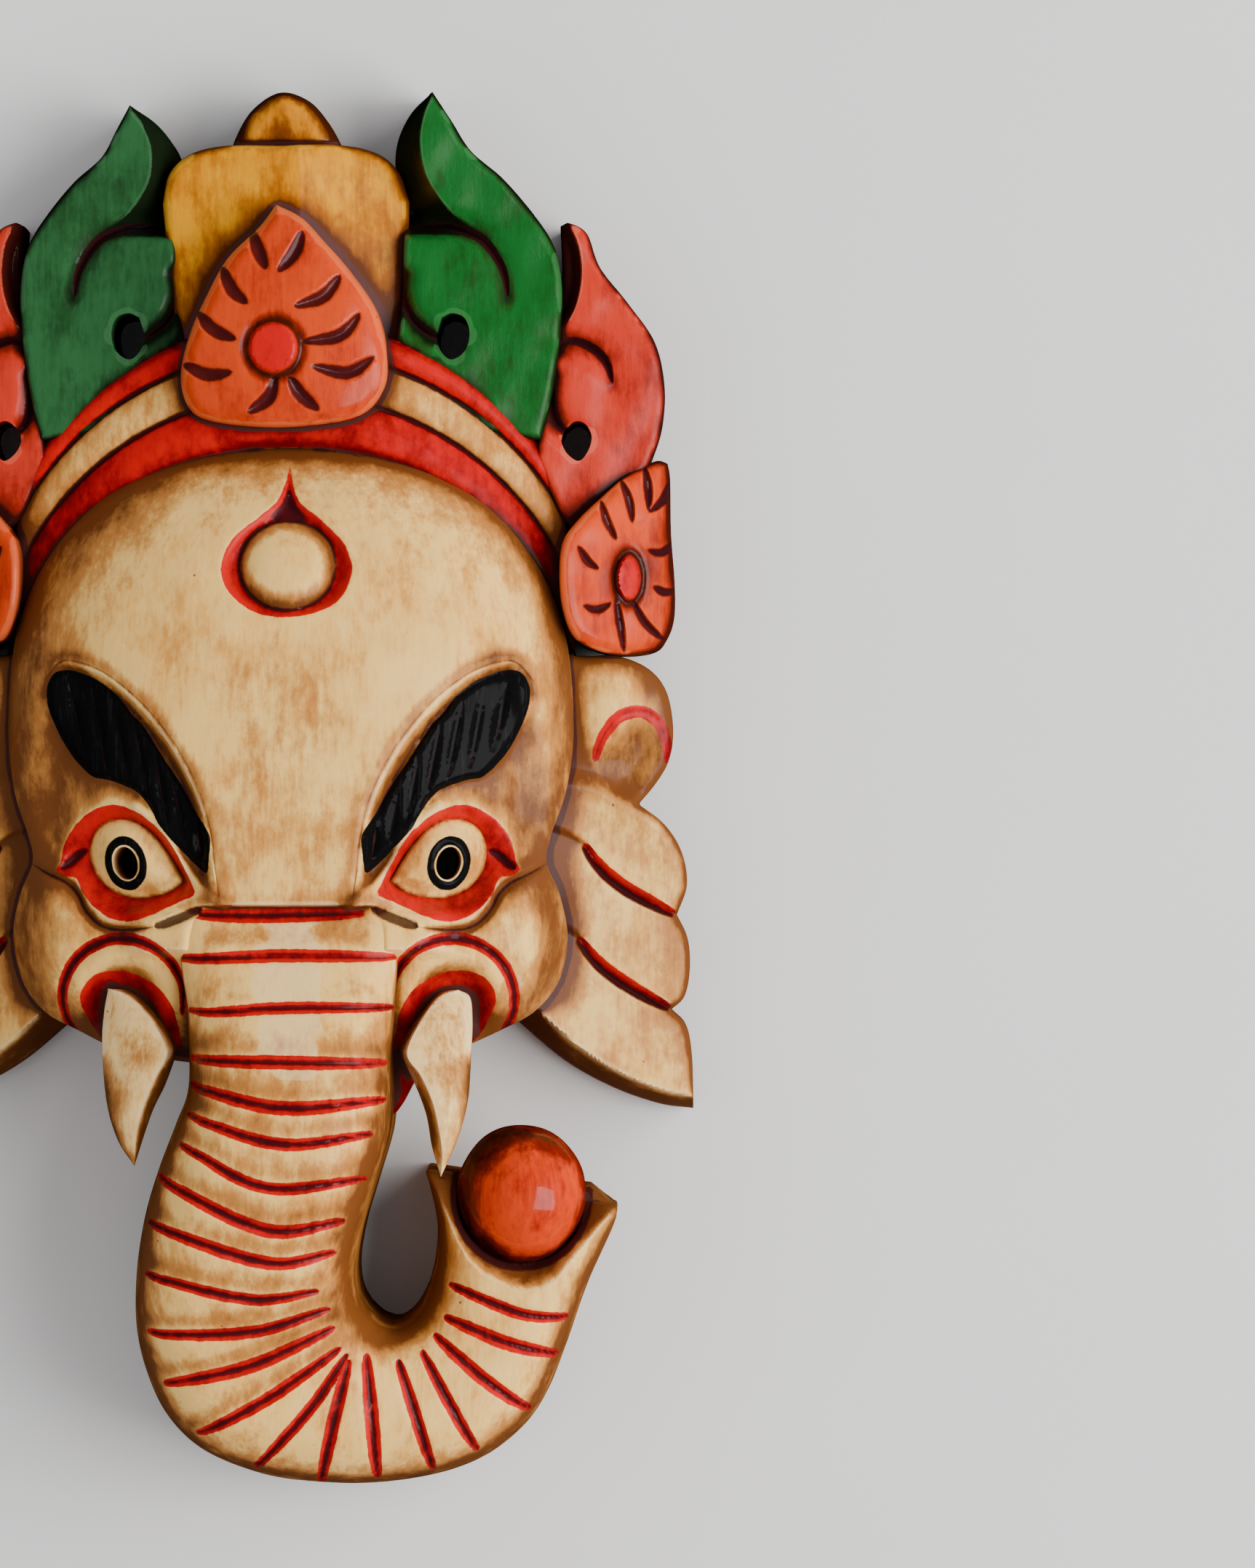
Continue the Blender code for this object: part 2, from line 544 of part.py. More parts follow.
def trunk_section(at, groove):
    """One cross-section of the trunk: its points from the left foot over the top to the right foot."""
    left_x, left_y, right_x, right_y, top, under, sag = trunk_station(at)
    across = np.array([right_x - left_x, right_y - left_y]) / 2
    middle = np.array([right_x + left_x, right_y + left_y]) / 2
    width = np.linalg.norm(across)
    onward = np.array([across[1], -across[0]]) / width
    points = []
    for angle in np.linspace(-1, 1, 10):
        t = math.sin(angle * math.pi / 2)
        arch = (1 - abs(t) ** 3.2) ** (1 / 3.2)
        carved = groove * max(0.0, 1 - (abs(t) / RING_REACH) ** 6)
        place = middle + across * t + onward * sag * (1 - t * t)
        points.append((*place, under + (top - under) * max(arch, 0.12) - carved))
    feet = [(*(middle + across * side * 1.02), under) for side in (-1, 1)]
    return [feet[0], *points, feet[1]]


def trunk():
    """The trunk: cross-sections skinned from the bridge of the nose to the mouth, ringed with gouges."""
    stops = []
    for ring in range(RINGS):
        at = ring / (RINGS - 1) * (len(TRUNK) - 2)
        stops += [(at - 0.1, 0.0), (at, GROOVE_DEPTH / RISE), (at + 0.1, 0.0)]
    stops = [(max(at, 0.0), cut) for at, cut in stops[1:]]
    stops += [(len(TRUNK) - 1.5, 0.0), (len(TRUNK) - 1.0, 0.0)]
    mesh = bmesh.new()
    rings = []
    for at, cut in stops:
        section = trunk_section(at, cut)
        rings.append([mesh.verts.new((x * SHARE, y * SHARE, z * RISE)) for x, y, z in section])
    for one, two in zip(rings, rings[1:]):
        count = len(one)
        for i in range(count):
            mesh.faces.new((one[i], one[(i + 1) % count], two[(i + 1) % count], two[i]))
    mesh.faces.new(rings[0])
    mesh.faces.new(rings[-1])
    return finished("trunk", mesh)


# The tusks

# Each station: x and y of the middle, half width, height of the underside and of the crest.
TUSK = [(38.5, -45.5, 2.0, 40, 49), (37.6, -52.5, 6.2, 40, 58.5), (35.4, -61.0, 8.2, 46, 63), (36.3, -69.0, 6.4, 50, 64.5),
        (37.2, -76.5, 4.4, 52.5, 64.5), (37.0, -84.0, 2.6, 54, 63.5), (35.8, -91.0, 0.6, 57, 60)]


def tusk(name, turned, shorter):
    """A fang with a crest on its inner side, skinned from cross-sections."""
    stations = curve_through(TUSK, 4.5)
    mesh = bmesh.new()
    rings = []
    for x, y, half, under, crest_height in stations:
        y = -45.5 + (y + 45.5) * shorter
        middle = (under + crest_height) / 2
        profile = [(-1, middle - 2), (-0.62, crest_height), (0.25, crest_height - 1.2), (0.85, middle + 2),
                   (1, middle - 1), (0.5, under), (-0.5, under)]
        rings.append([mesh.verts.new(((x + half * across) * turned * SHARE, y * SHARE, z * RISE))
                      for across, z in profile])
    for one, two in zip(rings, rings[1:]):
        for i in range(len(one)):
            mesh.faces.new((one[i], one[(i + 1) % len(one)], two[(i + 1) % len(one)], two[i]))
    mesh.faces.new(rings[0])
    mesh.faces.new(rings[-1])
    return finished(name, mesh)


# Round forms and cutters

def ellipsoid(name, centre, radii, segments=24, rings=12):
    """A stretched sphere."""
    mesh = bmesh.new()
    bmesh.ops.create_uvsphere(mesh, u_segments=segments, v_segments=rings, radius=1.0)
    bmesh.ops.scale(mesh, vec=Vector(radii), verts=mesh.verts)
    bmesh.ops.translate(mesh, vec=Vector(centre), verts=mesh.verts)
    return finished(name, mesh)


def oval_hole(name, x, y, width, height, lean, taper=1.0):
    """A cutter for an oval hole right through the block."""
    mesh = bmesh.new()
    depth = 2.4 * MASK_DEPTH
    bmesh.ops.create_cone(mesh, cap_ends=True, segments=14, radius1=0.5, radius2=0.5 * taper, depth=depth)
    for vert in mesh.verts:
        vert.co.x *= width
        vert.co.y *= height
    made = finished(name, mesh)
    made.location = (x * SHARE, y * SHARE, 0.0)
    made.rotation_euler.z = lean
    return made


def cutters():
    """Everything that is taken out of the block."""
    made = [ellipsoid("hollow", (0, 8.0 * SHARE, 0), (HOLLOW_WIDTH / 2, HOLLOW_LENGTH / 2, HOLLOW_DEPTH))]
    seat = BALL_RADIUS + BALL_SEAT_CLEARANCE
    made.append(ellipsoid("ball_seat", (BALL[0] * SHARE, (BALL[1] + 2) * SHARE, (BALL[2] + 8) * RISE),
                          (seat, seat, seat * 1.15), 20, 10))
    for side, turned in (("right", 1), ("left", -1)):
        lean = math.radians(-15 * turned)
        made += [
            oval_hole(f"eye_hole_{side}", PUPIL[0] * turned, PUPIL[1], EYE_HOLE_WIDTH, EYE_HOLE_HEIGHT, lean),
            oval_hole(f"green_hole_{side}", GREEN_HOLE[0] * turned, GREEN_HOLE[1], CROWN_HOLE_WIDTH,
                      CROWN_HOLE_HEIGHT, 0),
            oval_hole(f"red_hole_{side}", RED_HOLE[0] * turned, RED_HOLE[1], CROWN_HOLE_WIDTH * 0.9,
                      CROWN_HOLE_HEIGHT * 0.85, 0),
        ]
    return made


def floor_slab():
    """What is sawn off under the block to leave a flat back."""
    mesh = bmesh.new()
    bmesh.ops.create_cube(mesh, size=1.0)
    thickness = MASK_DEPTH
    bmesh.ops.scale(mesh, vec=Vector((2 * MASK_HEIGHT, 2 * MASK_HEIGHT, thickness)), verts=mesh.verts)
    bmesh.ops.translate(mesh, vec=Vector((0, 0, -thickness / 2)), verts=mesh.verts)
    return finished("floor_slab", mesh)


# Putting the block together

def collection_of(name, objects, helper):
    """A collection with the objects in it. Helpers aren't rendered."""
    made = bpy.data.collections.new(name)
    bpy.context.scene.collection.children.link(made)
    for item in objects:
        made.objects.link(item)
        if helper:
            item.hide_render = True
            item.display_type = "WIRE"
    return made


def boolean(target, operation, name, operand):
    """A live Boolean on the target, by an object or a whole collection."""
    modifier = target.modifiers.new(name, "BOOLEAN")
    modifier.operation = operation
    modifier.solver = "EXACT"
    if isinstance(operand, bpy.types.Collection):
        modifier.operand_type = "COLLECTION"
        modifier.collection = operand
    else:
        modifier.object = operand


def wood():
    """Painted, waxed wood."""
    material = bpy.data.materials.new("painted_wood")
    material.use_nodes = True
    shader = material.node_tree.nodes["Principled BSDF"]
    shader.inputs["Base Color"].default_value = WOOD_COLOUR
    shader.inputs["Roughness"].default_value = 0.35
    shader.inputs["Metallic"].default_value = 0.0
    return material


def carve_mask():
    """Joins the forms into one block, then cuts it."""
    mask = face()
    mask.name = "ganesha_mask"
    leaves = [("green", GREEN_LEAF, GREEN_SCROLL, GREEN_TAIL, (33, 0.2, 26)),
              ("red", RED_LEAF, RED_SCROLL, RED_TAIL, (28, 0.42, 63))]
    forms = [backing(), band(), crest(), cap(), flower(), trunk()]
    for side, turned in (("right", 1), ("left", -1)):
        forms += [ear(f"ear_{side}", turned), side_flower(f"side_flower_{side}", turned),
                  tusk(f"tusk_{side}", turned, 1.0 if turned > 0 else 0.94)]
        for colour, runs, scroll, tail, sizes in leaves:
            lean = 4.4 if turned < 0 and colour == "green" else 0.0
            forms.append(leaf(f"{colour}_leaf_{side}", runs, scroll, tail, sizes, turned, lean))
    ball = ellipsoid("ball", (BALL[0] * SHARE, BALL[1] * SHARE, BALL[2] * RISE), (BALL_RADIUS,) * 3, 20, 12)
    slab = floor_slab()
    collection_of("ganesha_mask", [mask], helper=False)
    added = collection_of("forms", forms, helper=True)
    taken = collection_of("cutters", cutters(), helper=True)
    collection_of("last_steps", [ball, slab], helper=True)
    boolean(mask, "UNION", "join_forms", added)
    boolean(mask, "DIFFERENCE", "cut_hollows", taken)
    boolean(mask, "UNION", "add_ball", ball)
    boolean(mask, "DIFFERENCE", "saw_back_flat", slab)
    mask.data.materials.append(wood())
    return mask


for old in list(bpy.data.objects):
    bpy.data.objects.remove(old)
carve_mask()
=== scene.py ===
"""The looks of the carved mask: fine carving, paint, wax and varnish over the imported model.

Lengths in this file are in millimetres until a mesh is made. The mask lies on its back on a pale
floor: the crown points to +Y, the trunk curls up on the +X side, and the face looks to +Z.
"""
import logging
import math
from collections.abc import Callable, Iterable, Sequence
from dataclasses import dataclass, field, replace
from enum import Enum

import bpy
import numpy as np
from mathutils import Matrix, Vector
from mathutils.geometry import delaunay_2d_cdt


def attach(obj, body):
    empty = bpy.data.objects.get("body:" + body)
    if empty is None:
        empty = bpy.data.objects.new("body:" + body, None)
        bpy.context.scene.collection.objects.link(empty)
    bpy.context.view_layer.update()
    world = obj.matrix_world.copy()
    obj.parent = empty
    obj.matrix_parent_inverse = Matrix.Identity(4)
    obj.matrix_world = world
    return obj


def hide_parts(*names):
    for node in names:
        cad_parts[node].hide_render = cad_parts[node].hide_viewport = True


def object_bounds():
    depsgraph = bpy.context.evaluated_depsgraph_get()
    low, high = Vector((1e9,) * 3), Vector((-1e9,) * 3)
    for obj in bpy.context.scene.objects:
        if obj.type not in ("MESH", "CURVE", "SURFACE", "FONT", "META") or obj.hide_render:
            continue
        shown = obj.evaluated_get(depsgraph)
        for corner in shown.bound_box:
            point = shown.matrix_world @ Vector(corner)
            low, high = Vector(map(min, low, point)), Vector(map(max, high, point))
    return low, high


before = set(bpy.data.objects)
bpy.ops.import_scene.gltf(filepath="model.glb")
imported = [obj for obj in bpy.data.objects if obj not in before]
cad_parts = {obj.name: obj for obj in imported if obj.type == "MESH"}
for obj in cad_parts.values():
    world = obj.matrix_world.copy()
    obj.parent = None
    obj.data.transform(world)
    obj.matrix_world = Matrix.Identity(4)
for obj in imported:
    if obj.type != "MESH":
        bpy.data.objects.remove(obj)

CAD_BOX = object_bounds()
NODE = "ganesha_mask"
BODY = "root"
MM = 0.001
# The distance from a painted loop past which it isn't measured.
FAR = 9.0
# How far inside an outline extra rows of vertices run.
RIM_ROWS = (0.15, 0.4, 0.8, 1.35)
# How near free vertices may come to an outline, and the cell that holds one of them at most.
RIM_CLEARANCE = 0.08
VERTEX_CELL = 0.12
SIDES = (("right", 1), ("left", -1))

log = logging.getLogger("mask")

Points = Sequence[tuple[float, ...]]
Surface = Callable[[np.ndarray, np.ndarray], np.ndarray]
Shade = tuple[Points, float, float]
Colour = tuple[int, int, int]


def smoothstep(value: np.ndarray, low: float = 0.0, high: float = 1.0) -> np.ndarray:
    """A smooth rise from 0 at low to 1 at high."""
    t = np.clip((value - low) / (high - low), 0.0, 1.0)
    return t * t * (3.0 - 2.0 * t)


def curve_through(points: Points, step: float) -> np.ndarray:
    """Runs a smooth curve through some points.

    Args:
        points: The points that the curve passes, two or more numbers each.
        step: The distance between the points made, in millimetres.

    Returns:
        The curve's points, one a row.
    """
    given = np.array(points, float)
    padded = np.vstack([2 * given[0] - given[1], given, 2 * given[-1] - given[-2]])
    made = []
    for p0, p1, p2, p3 in zip(padded, padded[1:], padded[2:], padded[3:]):
        count = max(1, math.ceil(np.linalg.norm((p2 - p1)[:2]) / step))
        t = (np.arange(count) / count)[:, None]
        made.append(
            0.5 * (2 * p1 + (p2 - p0) * t + (2 * p0 - 5 * p1 + 4 * p2 - p3) * t**2
                   + (3 * p1 - p0 - 3 * p2 + p3) * t**3)
        )
    return np.vstack([*made, given[-1:]])


def loop_through(runs: Sequence[Points], step: float) -> np.ndarray:
    """A closed loop of smooth runs that meet at corners."""
    return np.vstack([curve_through(run, step)[:-1] for run in runs])


def mirrored(runs: Sequence[Points]) -> list[list[tuple[float, ...]]]:
    """The same runs on the mask's other side."""
    return [[(-point[0], *point[1:]) for point in reversed(run)] for run in reversed(runs)]


def closed_line(loop: np.ndarray) -> np.ndarray:
    """A closed loop as a line that ends where it starts."""
    return np.vstack([loop, loop[:1]])


def all_round(count: int) -> np.ndarray:
    """Evenly spaced angles once round, in radians."""
    return np.linspace(0, 2 * math.pi, count, endpoint=False)


def arc(middle: Sequence[float], size: tuple[float, float], angles: np.ndarray) -> np.ndarray:
    """The points of an oval at some angles in radians, counted from its right end."""
    return np.stack([middle[0] + size[0] * np.cos(angles), middle[1] + size[1] * np.sin(angles)], 1)


def as_tuples(points: Iterable[np.ndarray]) -> tuple[tuple[float, ...], ...]:
    """Points as plain tuples, as a stroke keeps them."""
    return tuple(map(tuple, points))


def left_of(along: np.ndarray) -> np.ndarray:
    """Unit directions square to some others, on their left."""
    across = np.stack([-along[:, 1], along[:, 0]], 1)
    return across / (np.linalg.norm(across, axis=1)[:, None] + 1e-9)


def inwards(loop: np.ndarray) -> np.ndarray:
    """Unit directions into a closed loop, one for each of its points."""
    before, after = np.roll(loop, 1, axis=0), np.roll(loop, -1, axis=0)
    area = np.sum(loop[:, 0] * after[:, 1] - loop[:, 1] * after[:, 0])
    return left_of(after - before) * np.sign(area)


def shades_on(shades: Iterable[Shade], turned: int) -> list[Shade]:
    """Soft strokes of wax, put on one side of the mask."""
    return [(tuple((x * turned, y) for x, y in line), reach, amount) for line, reach, amount in shades]


def nearest(line: np.ndarray, x: np.ndarray, y: np.ndarray, reach: float) -> tuple[np.ndarray, np.ndarray]:
    """Finds how near each point lies to a line.

    Args:
        line: The line's points.
        x: The points' x.
        y: The points' y.
        reach: The distance past which points aren't measured, and which they get instead.

    Returns:
        The distance of each point, and the share of the line passed at its nearest place.
    """
    distance = np.full(x.shape, float(reach))
    share = np.zeros(x.shape)
    low, high = line.min(0) - reach, line.max(0) + reach
    near = np.flatnonzero((x > low[0]) & (x < high[0]) & (y > low[1]) & (y < high[1]))
    px, py = x[near], y[near]
    best, place = np.full(px.shape, float(reach)), np.zeros(px.shape)
    for index, ((ax, ay), (bx, by)) in enumerate(zip(line[:-1, :2], line[1:, :2])):
        dx, dy = bx - ax, by - ay
        along = np.clip(((px - ax) * dx + (py - ay) * dy) / (dx * dx + dy * dy + 1e-12), 0, 1)
        gap = np.hypot(px - ax - along * dx, py - ay - along * dy)
        closer = gap < best
        best = np.where(closer, gap, best)
        place = np.where(closer, index + along, place)
    distance[near], share[near] = best, place / max(1, len(line) - 1)
    return distance, share


def inside(loop: np.ndarray, x: np.ndarray, y: np.ndarray) -> np.ndarray:
    """True for each point inside a closed loop."""
    found = np.zeros(x.shape, bool)
    low, high = loop.min(0), loop.max(0)
    near = np.flatnonzero((x >= low[0]) & (x <= high[0]) & (y >= low[1]) & (y <= high[1]))
    px, py = x[near], y[near]
    within = np.zeros(px.shape, bool)
    for (ax, ay), (bx, by) in zip(loop, np.roll(loop, -1, axis=0)):
        rise = by - ay if by != ay else 1e-12
        within ^= ((ay > py) != (by > py)) & (px < (bx - ax) * (py - ay) / rise + ax)
    found[near] = within
    return found


def depth_in(loop: np.ndarray, x: np.ndarray, y: np.ndarray, reach: float = FAR) -> np.ndarray:
    """Distance to a closed loop, above zero inside it and below zero outside."""
    distance, _ = nearest(closed_line(loop), x, y, reach)
    return distance * np.where(inside(loop, x, y), 1, -1)


def rounded(depth: np.ndarray, radius: float) -> np.ndarray:
    """How far a rounded edge lies under the flat, from the distance inside the outline."""
    reach = np.clip(depth / radius, 0, 1)
    return radius * (1 - np.sqrt(1 - (1 - reach) ** 2))


def lumps(x: np.ndarray, y: np.ndarray, size: float, seed: float) -> np.ndarray:
    """Slow unevenness of a surface cut by hand, about -1 to 1."""
    a, b = x / size, y / size
    return (
        np.sin(1.3 * a + 0.7 * b + seed) + np.sin(-0.6 * a + 1.5 * b + 2.1 * seed)
        + np.sin(2.3 * a - 1.1 * b + 3.7 * seed) + np.sin(0.9 * a + 2.6 * b + 5.3 * seed)
    ) / 4


def bulge(x: np.ndarray, y: np.ndarray, middle: tuple[float, float], size: tuple[float, float],
          height: float) -> np.ndarray:
    """The height of a soft round swelling."""
    return height * np.exp(-(((x - middle[0]) / size[0]) ** 2) - ((y - middle[1]) / size[1]) ** 2)


def plate(outlines: Sequence[np.ndarray], holes: Sequence[np.ndarray], free: np.ndarray,
          close: float) -> tuple[np.ndarray, np.ndarray]:
    """Triangulates the inside of closed loops.

    Args:
        outlines: The loops that are filled, which may overlap.
        holes: Loops that stay open.
        free: More points to use, one a row.
        close: The distance within which points become one, in millimetres.

    Returns:
        The flat points, and the triangles by the numbers of their corners.
    """
    edges, points = [], []
    for loop in (*outlines, *holes):
        start = len(points)
        edges += [(start + i, start + (i + 1) % len(loop)) for i in range(len(loop))]
        points += [Vector(point) for point in loop]
    points += [Vector(point) for point in free]
    flat, _, faces, *_ = delaunay_2d_cdt(points, edges, [], 0, close)
    flat = np.array([tuple(point) for point in flat])
    faces = np.array([face for face in faces if len(face) == 3])
    middle = flat[faces].mean(1)
    kept = np.zeros(len(middle), bool)
    for loop in outlines:
        kept |= inside(loop, middle[:, 0], middle[:, 1])
    for hole in holes:
        kept &= ~inside(hole, middle[:, 0], middle[:, 1])
    used, renumbered = np.unique(faces[kept], return_inverse=True)
    return flat[used], renumbered.reshape(-1, 3)


@dataclass(frozen=True)
class Gouge:
    """A stroke of the gouge along a smooth line, painted along its edges and waxed in its bottom.

    Attributes:
        points: The places that the stroke passes.
        width: The width of the cut at its widest.
        depth: The depth of the cut there.
        paint: The width of the red paint along it. Nought for none.
        core: The width of the dark wax in its bottom.
        blunt: How blunt the ends are: 0 for a thin long point, 1 for a round end.
    """

    points: tuple[tuple[float, float], ...]
    width: float = 2.6
    depth: float = 1.1
    paint: float = 0.0
    core: float = 1.0
    blunt: float = 0.5

    def line(self) -> np.ndarray:
        """The stroke's middle line."""
        return curve_through(self.points, 0.7)

    def on_side(self, turned: int) -> "Gouge":
        """The stroke as it is for 1, and on the mask's other side for -1."""
        return replace(self, points=tuple((x * turned, y) for x, y in self.points))

    def swell(self, share: np.ndarray) -> np.ndarray:
        """The share of the full width at each place along the stroke."""
        return np.sin(np.clip(share, 0.0, 1.0) * math.pi) ** (0.75 - 0.5 * self.blunt)


# The short deep cut where the trunk's top meets the lower lid. The face and the trunk share it.
LID_CORNER = Gouge(((19.8, -28.4), (23.5, -30.2), (28, -32), (31, -32.8)), 3.4, 1.4, 0, 2.5, 1.0)


@dataclass
class Marks:
    """Everything cut and painted on a piece.

    Attributes:
        gouges: The strokes cut in it.
        red: Closed loops painted red.
        bare: Closed loops inside the red that keep the ground colour.
        black: Closed loops painted black.
        open_black: Closed loops inside the black that keep the ground colour.
        dark: Closed loops filled with dark wax.
        stained: Closed loops that keep more wax, each with how much; on the sweet, painted shade.
        shaded: Soft strokes of wax, each a line, how far it spreads and how much; on the left forehead, painted shade.
    """

    gouges: list[Gouge] = field(default_factory=list)
    red: list[np.ndarray] = field(default_factory=list)
    bare: list[np.ndarray] = field(default_factory=list)
    black: list[np.ndarray] = field(default_factory=list)
    open_black: list[np.ndarray] = field(default_factory=list)
    dark: list[np.ndarray] = field(default_factory=list)
    stained: list[tuple[np.ndarray, float]] = field(default_factory=list)
    shaded: list[Shade] = field(default_factory=list)

    def cut(self, x: np.ndarray, y: np.ndarray) -> np.ndarray:
        """The depth of the gouge cuts at each point."""
        deepest = np.zeros(x.shape)
        for gouge in self.gouges:
            distance, share = nearest(gouge.line(), x, y, gouge.width)
            swell = gouge.swell(share)
            across = np.clip(1 - distance / (0.5 * gouge.width * swell + 1e-6), 0, 1)
            deepest = np.maximum(deepest, gouge.depth * swell * across * (1.6 - 0.6 * across))
        return deepest

    def rows(self) -> list[np.ndarray]:
        """The lines that the mesh follows, so that cuts and painted edges stay crisp."""
        made = []
        for gouge in self.gouges:
            line = gouge.line()
            across = left_of(np.gradient(line, axis=0))
            half = 0.5 * gouge.width * gouge.swell(np.linspace(0, 1, len(line)))[:, None]
            made += [line, line + across * half, line - across * half]
        loops = self.red + self.bare + self.black + self.open_black + self.dark
        return made + [closed_line(loop) for loop in loops]

    @staticmethod
    def area(loops: list[np.ndarray], openings: list[np.ndarray], x: np.ndarray, y: np.ndarray) -> np.ndarray:
        """How far inside some loops, and outside the openings in them, every point lies."""
        depth = np.full(x.shape, -FAR)
        for loop in loops:
            depth = np.maximum(depth, depth_in(loop, x, y))
        for loop in openings:
            depth = np.minimum(depth, -depth_in(loop, x, y))
        return depth

    def paint(self, x: np.ndarray, y: np.ndarray) -> dict[str, np.ndarray]:
        """How far inside each paint every point lies.

        Args:
            x: The points' x.
            y: The points' y.

        Returns:
            Millimetres inside the red, black and dark areas, below zero outside, and the stain, partly painted shade.
        """
        red = self.area(self.red, self.bare, x, y)
        black = self.area(self.black, self.open_black, x, y)
        dark = self.area(self.dark, [], x, y)
        stain = np.zeros(x.shape)
        for loop, amount in self.stained:
            stain = np.maximum(stain, amount * smoothstep(depth_in(loop, x, y, 3.0), -0.9, 0.9))
        for line, reach, amount in self.shaded:
            distance, _ = nearest(curve_through(line, 1.5), x, y, 3 * reach)
            stain = stain + (amount - 0.4 * stain) * np.exp(-((distance / reach) ** 2)) * (distance < 3 * reach)
        for gouge in self.gouges:
            distance, share = nearest(gouge.line(), x, y, 5.0)
            swell = gouge.swell(share)
            if gouge.paint:
                red = np.maximum(red, 0.5 * gouge.paint * swell - distance)
            dark = np.maximum(dark, 0.5 * gouge.core * swell - distance)
        return {"red": red, "black": black, "dark": dark, "stain": stain}


def activate(piece: bpy.types.Object) -> None:
    """Makes a piece the only selected and active object."""
    bpy.ops.object.select_all(action="DESELECT")
    piece.select_set(True)
    bpy.context.view_layer.objects.active = piece


def mesh_object(name: str, points: np.ndarray, faces: Iterable[Sequence[int]]) -> bpy.types.Object:
    """A new object in the scene, from points in millimetres and faces."""
    mesh = bpy.data.meshes.new(name)
    mesh.from_pydata((points * MM).tolist(), [], [tuple(int(i) for i in face) for face in faces])
    piece = bpy.data.objects.new(name, mesh)
    bpy.context.scene.collection.objects.link(piece)
    activate(piece)
    return piece


def block(name: str, upper: np.ndarray, lower: np.ndarray, faces: np.ndarray) -> bpy.types.Object:
    """A closed object from an upper sheet, the same sheet below it and walls between them."""
    edges = np.vstack([faces[:, [0, 1]], faces[:, [1, 2]], faces[:, [2, 0]]])
    _, places, times = np.unique(np.sort(edges, axis=1), axis=0, return_index=True, return_counts=True)
    count = len(upper)
    sides = [(a, a + count, b + count, b) for a, b in edges[places[times == 1]]]
    return mesh_object(name, np.vstack([upper, lower]), [*faces, *(faces[:, ::-1] + count), *sides])


def point_outwards(piece: bpy.types.Object) -> None:
    """Turns all faces of a closed piece outwards."""
    activate(piece)
    bpy.ops.object.mode_set(mode="EDIT")
    bpy.ops.mesh.select_all(action="SELECT")
    bpy.ops.mesh.normals_make_consistent(inside=False)
    bpy.ops.object.mode_set(mode="OBJECT")


def cut_away(piece: bpy.types.Object, tool: bpy.types.Object) -> None:
    """Cuts a tool's shape out of a piece and removes the tool."""
    modifier = piece.modifiers.new("cut", "BOOLEAN")
    modifier.operation, modifier.solver, modifier.object = "DIFFERENCE", "EXACT", tool
    activate(piece)
    bpy.ops.object.modifier_apply(modifier=modifier.name)
    bpy.data.objects.remove(tool)


def vertex_array(piece: bpy.types.Object) -> np.ndarray:
    """The piece's vertices in millimetres, one a row."""
    found = np.empty(len(piece.data.vertices) * 3, np.float32)
    piece.data.vertices.foreach_get("co", found)
    return found.reshape(-1, 3).astype(float) / MM


def upward(items: bpy.types.bpy_prop_collection, name: str) -> np.ndarray:
    """How far each of a mesh's normals points up, from 1 for straight up to -1."""
    found = np.empty(len(items) * 3, np.float32)
    items.foreach_get(name, found)
    return found[2::3]


def keep_number(piece: bpy.types.Object, name: str, values: np.ndarray) -> None:
    """Stores a number for each vertex of a piece."""
    layer = piece.data.attributes.new(name, "FLOAT", "POINT")
    layer.data.foreach_set("value", values.astype(np.float32))


